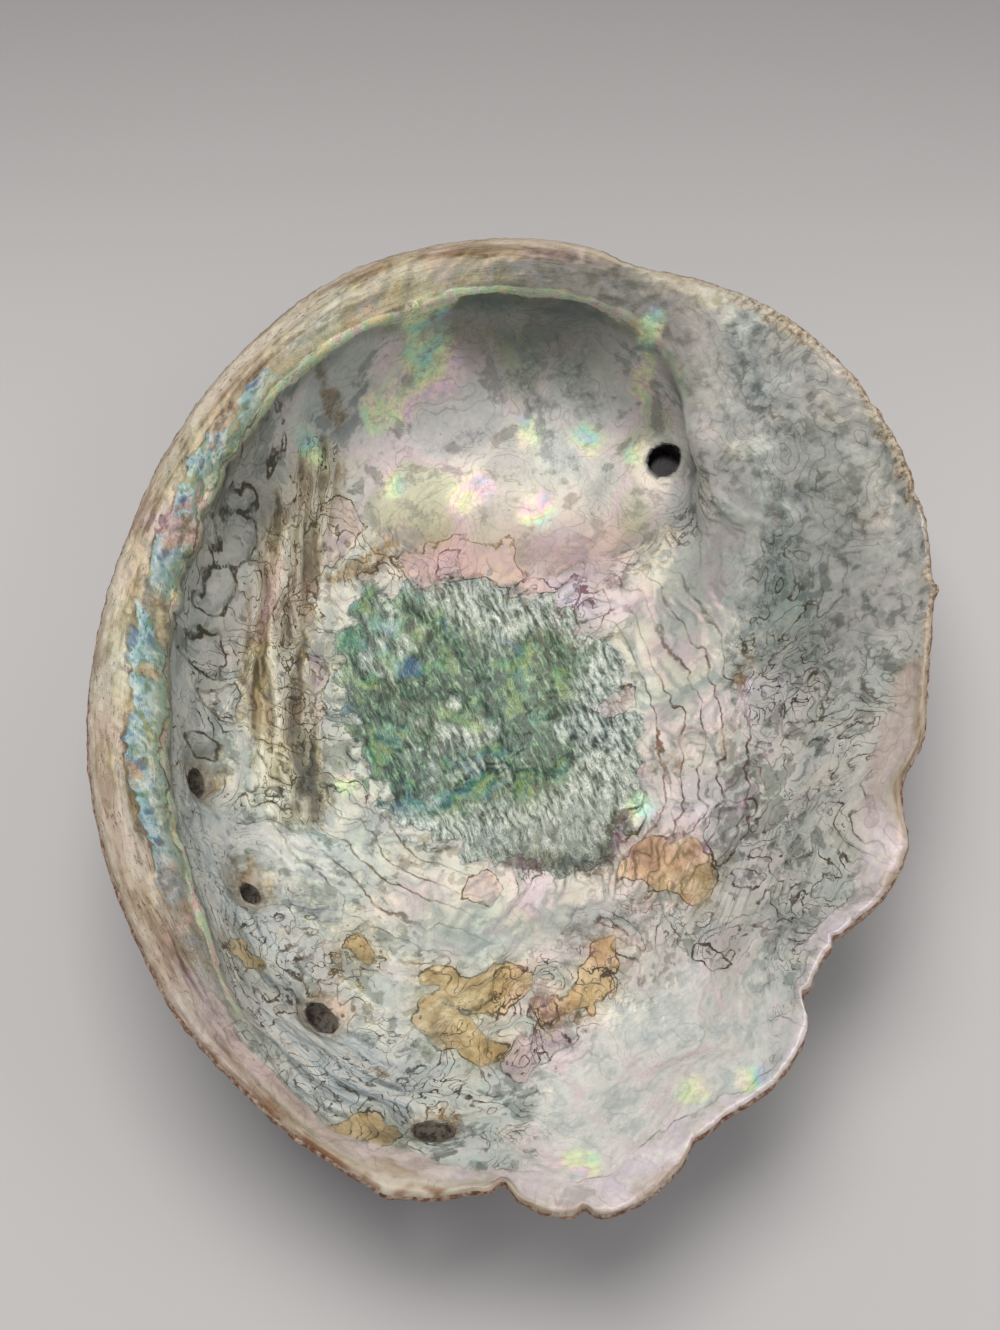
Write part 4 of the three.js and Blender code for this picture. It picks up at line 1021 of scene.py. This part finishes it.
# The growing lip: a pinkish band, chalky and pitted at its outer edge, rusty where the skin ends.
lip_wander = times_plus(minus(kept("wander"), 0.5), 12, station)
lip_wander = times_plus(ragged, 2.2, minus(lip_wander, kept("lip_shift")))
thin_lip = kept("thin_lip")
dull = times(thin_lip, between(lip_wander, 84, 96), 0.6)
colour = blended(dull, colour, tones(marked("clouded", 0.5), [
    (0.36, 116, 118, 116), (0.46, 158, 156, 152), (0.58, 188, 184, 178)]))
lines = times(lines, less(dull))
lip_band = between(times_plus(thin_lip, -8.0, lip_wander), 97.6, 100.4)
lip_band = times(lip_band, less(ledge_side))
lilac_share = times_plus(kept("rust"), 0.4, times(kept("lip_shift"), 0.2))
brown_lip = tones(streaks, [(0.36, 160, 130, 114), (0.5, 186, 160, 144), (0.62, 200, 182, 168)])
lilac_lip = tones(middle, [(0.38, 192, 182, 180), (0.48, 222, 212, 206), (0.56, 220, 206, 214),
                           (0.64, 234, 228, 220)])
lip_tone = blended(lilac_share, brown_lip, lilac_lip)
colour = blended(times(lip_band, 0.9), colour, lip_tone)
lines = times(lines, less(times(lip_band, 0.75)))
lines = greater(lines, times(edge_line(lip_wander, 0.3, 99.0), less(ledge_side), patchy, 0.6))
chalk = between(times_plus(thin_lip, -1.0, lip_wander), 103.2, 104.8)
rim_tone = tones(streaks, [(0.36, 126, 108, 88), (0.48, 172, 156, 136), (0.6, 198, 188, 170)])
rim_tone = blended(between(kept("pitted"), 0.2, 0.7), rim_tone,
                   tones(fine, [(0.36, 84, 66, 50), (0.46, 160, 140, 116), (0.58, 200, 188, 168)]))
colour = blended(times(chalk, 0.9), colour, rim_tone)
rust = times(between(lip_wander, 104.8, 107), between(kept("rust"), 0.2, 0.7),
             between(kept("bright"), 0.46, 0.62))
colour = blended(times(rust, 0.85), colour, paint(126, 80, 52))

# Painted glints: highlights where the layers split the light into pure colours, painted into the
# colour as pastel rainbow spots.
painted_glint = between(times(kept("painted_glint"), middle), 0.18, 0.48)
painted_glint_colours = tones(sum_of("FRACT", times(marked("slow", 0.12), 2.6)), [
    (0.0, 248, 212, 228), (0.2, 255, 246, 206), (0.4, 228, 250, 190),
    (0.6, 174, 240, 216), (0.8, 200, 224, 250), (1.0, 248, 212, 228)])
painted_glint = times(painted_glint, between(fine, 0.36, 0.54, 0.4, 1.0))
colour = blended(times(painted_glint, 0.95), colour, painted_glint_colours)
colour = blended(times(kept("collar"), 0.75), colour, paint(226, 224, 214))

colour = blended(between(fine, 0.3, 0.7), blended(0.14, colour, paint(70, 74, 72)), colour)
speck = between(fine, 0.7, 0.76)
colour = blended(times(speck, 0.6), colour, paint(72, 66, 58))
line_strength = between(times_plus(kept("bright"), 0.6, times(fine, 0.4)), 0.42, 0.54, 0.4, 0.95)
colour = blended(times(lines, line_strength), colour, paint(64, 54, 44))
# Round each open pore, a brown stain and painted shade of its funnel, darkest near the hole.
funnel = times(between(marked("pore", 6.0), 6, 3), 0.6)
colour = blended(funnel, colour, tones(fine, [(0.38, 92, 70, 50), (0.56, 160, 140, 112)]))
# Bores of the holes take a brown-grey tone, and the deep pit is painted near black, a painted shade
# of the hole.
bore_tone_and_pit_shade = kept("pit")
colour = blended(between(bore_tone_and_pit_shade, 0.2, 0.4), colour,
                 tones(fine, [(0.38, 84, 74, 64), (0.56, 146, 134, 120)]))
painted_pit_shade = between(bore_tone_and_pit_shade, 0.7, 0.9)
colour = blended(painted_pit_shade, colour, tones(fine, [(0.35, 12, 9, 7), (0.62, 62, 48, 38)]))

# Hatching scratched by sand on the lower right.
turned = add_node("ShaderNodeVectorRotate", {"Vector": spot, "Angle": math.radians(24)},
                  rotation_type="Z_AXIS")
hatching = cloud(scaled(turned, (1.6, 0.09, 0.2)), 1, 2, 0.6)
hatched = times(between(hatching, 0.56, 0.64), between(kept("scratched"), -4, 4))
colour = blended(times(hatched, 0.45), colour, paint(120, 128, 124))
surface = tree.nodes["Principled BSDF"]
tree.links.new(colour, surface.inputs["Base Color"])
rough = times_plus(chalk, 0.3, times_plus(fine, 0.3, 0.24))
rough = times_plus(painted_pit_shade, 0.6, rough)
tree.links.new(rough, surface.inputs["Roughness"])
NACRE_GLOSS = {"Metallic": 0.05, "IOR": 1.55, "Coat Weight": 0.2, "Coat Roughness": 0.25,
               "Thin Film IOR": 1.36}
for name, value in NACRE_GLOSS.items():
    surface.inputs[name].default_value = value
# The glassy film over the nacre, in millionths of a millimetre, changes less over the scar.
film = plus(times_plus(broad, 60, 180), times(less(in_scar), times_plus(broad, 200, -60)))
tree.links.new(film, surface.inputs["Thin Film Thickness"])
height = times_plus(times(fibre, in_scar), 0.5, times(fine, 0.14))
height = times_plus(sum_of("SNAP", kept("worn_map"), MAP_STEP), 2.4, height)
bump = add_node("ShaderNodeBump", {"Strength": 0.9, "Distance": MM, "Height": height})
tree.links.new(bump, surface.inputs["Normal"])

# The outer skin: chalky shell in dull red and cream, with crusts and a film of algae from the sea.
# It is worn to bare grey where the shell rests, and rusty brown where it ends at the lip.
skin.use_nodes = True
tree = skin.node_tree
spot = scaled(add_node("ShaderNodeTexCoord", out=OBJECT_PLACE), 1 / MM)
flow, station = kept("round", 1), kept("station")
fine = cloud(spot, 0.8, 5, 0.65)
bands = cloud(scaled(flow, (4, 4, 26)), 1, 4, 0.6, 0.5)
colour = tones(bands, [(0.34, 122, 74, 60), (0.44, 156, 104, 84), (0.52, 182, 140, 118),
                       (0.6, 206, 184, 162), (0.7, 166, 150, 124)])
crusted = between(cloud(spot, 0.07, 5, 0.65), 0.48, 0.6)
colour = blended(times(crusted, 0.75), colour,
                 tones(fine, [(0.36, 150, 140, 120), (0.6, 214, 206, 190)]))
algae = between(cloud(spot, 0.05, 3, 0.6), 0.56, 0.66)
colour = blended(times(algae, 0.45), colour, paint(126, 128, 96))
colour = blended(between(fine, 0.5, 0.36), colour, paint(96, 66, 52), "MULTIPLY")
lip_edge = between(station, 112, 108.5)
colour = blended(times(lip_edge, 0.85), colour,
                 tones(fine, [(0.36, 108, 66, 42), (0.48, 150, 104, 74), (0.6, 200, 180, 156)]))
worn = between(add_node("ShaderNodeSeparateXYZ", {0: spot}, out=2), 1.6, 0.2)
worn = between(plus(worn, minus(fine, 0.5)), 0.45, 0.7)
colour = blended(times(worn, 0.85), colour,
                 tones(fine, [(0.4, 168, 166, 158), (0.6, 204, 204, 196)]))
surface = tree.nodes["Principled BSDF"]
tree.links.new(colour, surface.inputs["Base Color"])
tree.links.new(times_plus(fine, 0.4, 0.5), surface.inputs["Roughness"])
height = times_plus(bands, 0.9, times(fine, 0.7))
height = times_plus(cloud(spot, 2.4, 2), 0.25, height)
tree.links.new(add_node("ShaderNodeBump", {"Strength": 0.8, "Distance": MM, "Height": height}),
               surface.inputs["Normal"])

# The floor: one plain pale sheet, with painted shade that makes it a little darker towards the
# back.
HALF_WIDTH, NEAR_GREY, FAR_SHADED_GREY = 5.0, paint(198, 194, 191), paint(132, 128, 126)
floor_mesh = bpy.data.meshes.new("floor sheet")
corners = [(x * HALF_WIDTH, y * HALF_WIDTH, 0) for x, y in ((-1, -1), (1, -1), (1, 1), (-1, 1))]
floor_mesh.from_pydata(corners, [], [(0, 1, 2, 3)])
paper = bpy.data.materials.new("pale paper")
paper.use_nodes = True
tree = paper.node_tree
floor_place = add_node("ShaderNodeTexCoord", out=OBJECT_PLACE)
painted_shade_to_back = between(add_node("ShaderNodeSeparateXYZ", {0: floor_place}, out=1), 0.02, 0.3)
surface = tree.nodes["Principled BSDF"]
tree.links.new(blended(painted_shade_to_back, NEAR_GREY, FAR_SHADED_GREY), surface.inputs["Base Color"])
surface.inputs["Roughness"].default_value = 0.8
floor_mesh.materials.append(paper)
floor_sheet = bpy.data.objects.new("floor sheet", floor_mesh)
bpy.context.scene.collection.objects.link(floor_sheet)


# Light: a wide soft panel high behind the shell, with a pale room around it.
def soft_panel(name, place, size, watts):
    light = bpy.data.lights.new(name, "AREA")
    light.shape, light.size, light.size_y, light.energy = "RECTANGLE", size[0], size[1], watts
    panel = bpy.data.objects.new(name, light)
    panel.location = place
    panel.rotation_euler = (-Vector(place)).to_track_quat("-Z", "Y").to_euler()
    bpy.context.scene.collection.objects.link(panel)


soft_panel("panel above", (-0.1, 0.25, 0.95), (0.6, 0.5), 6.7)
soft_panel("panel at the right", (0.9, -0.1, 0.8), (0.6, 0.6), 1.9)
world = bpy.data.worlds.new("pale room")
bpy.context.scene.world = world
world.use_nodes = True
room_light = world.node_tree.nodes["Background"]
room_light.inputs["Color"].default_value = (0.93, 0.95, 1.0, 1)
room_light.inputs["Strength"].default_value = 0.38
bpy.context.scene.view_settings.view_transform = "Standard"
bounces = bpy.context.scene.cycles
bounces.max_bounces, bounces.diffuse_bounces, bounces.glossy_bounces = 1, 1, 1
bounces.caustics_reflective = bounces.caustics_refractive = False

# The camera looks down at the bowl from 65 degrees above the floor.
TILT, DISTANCE, AIM = math.radians(65), 0.313, Vector((-0.00412, 0.0005, 0.046))
LENS_MM, FILM_MM = 45, 36
camera = bpy.data.objects.new("camera", bpy.data.cameras.new("camera"))
camera.data.lens, camera.data.sensor_width = LENS_MM, FILM_MM
camera.location = AIM + Vector((0, -math.cos(TILT), math.sin(TILT))) * DISTANCE
camera.rotation_euler = (math.pi / 2 - TILT, 0, 0)
bpy.context.scene.collection.objects.link(camera)
bpy.context.scene.camera = camera
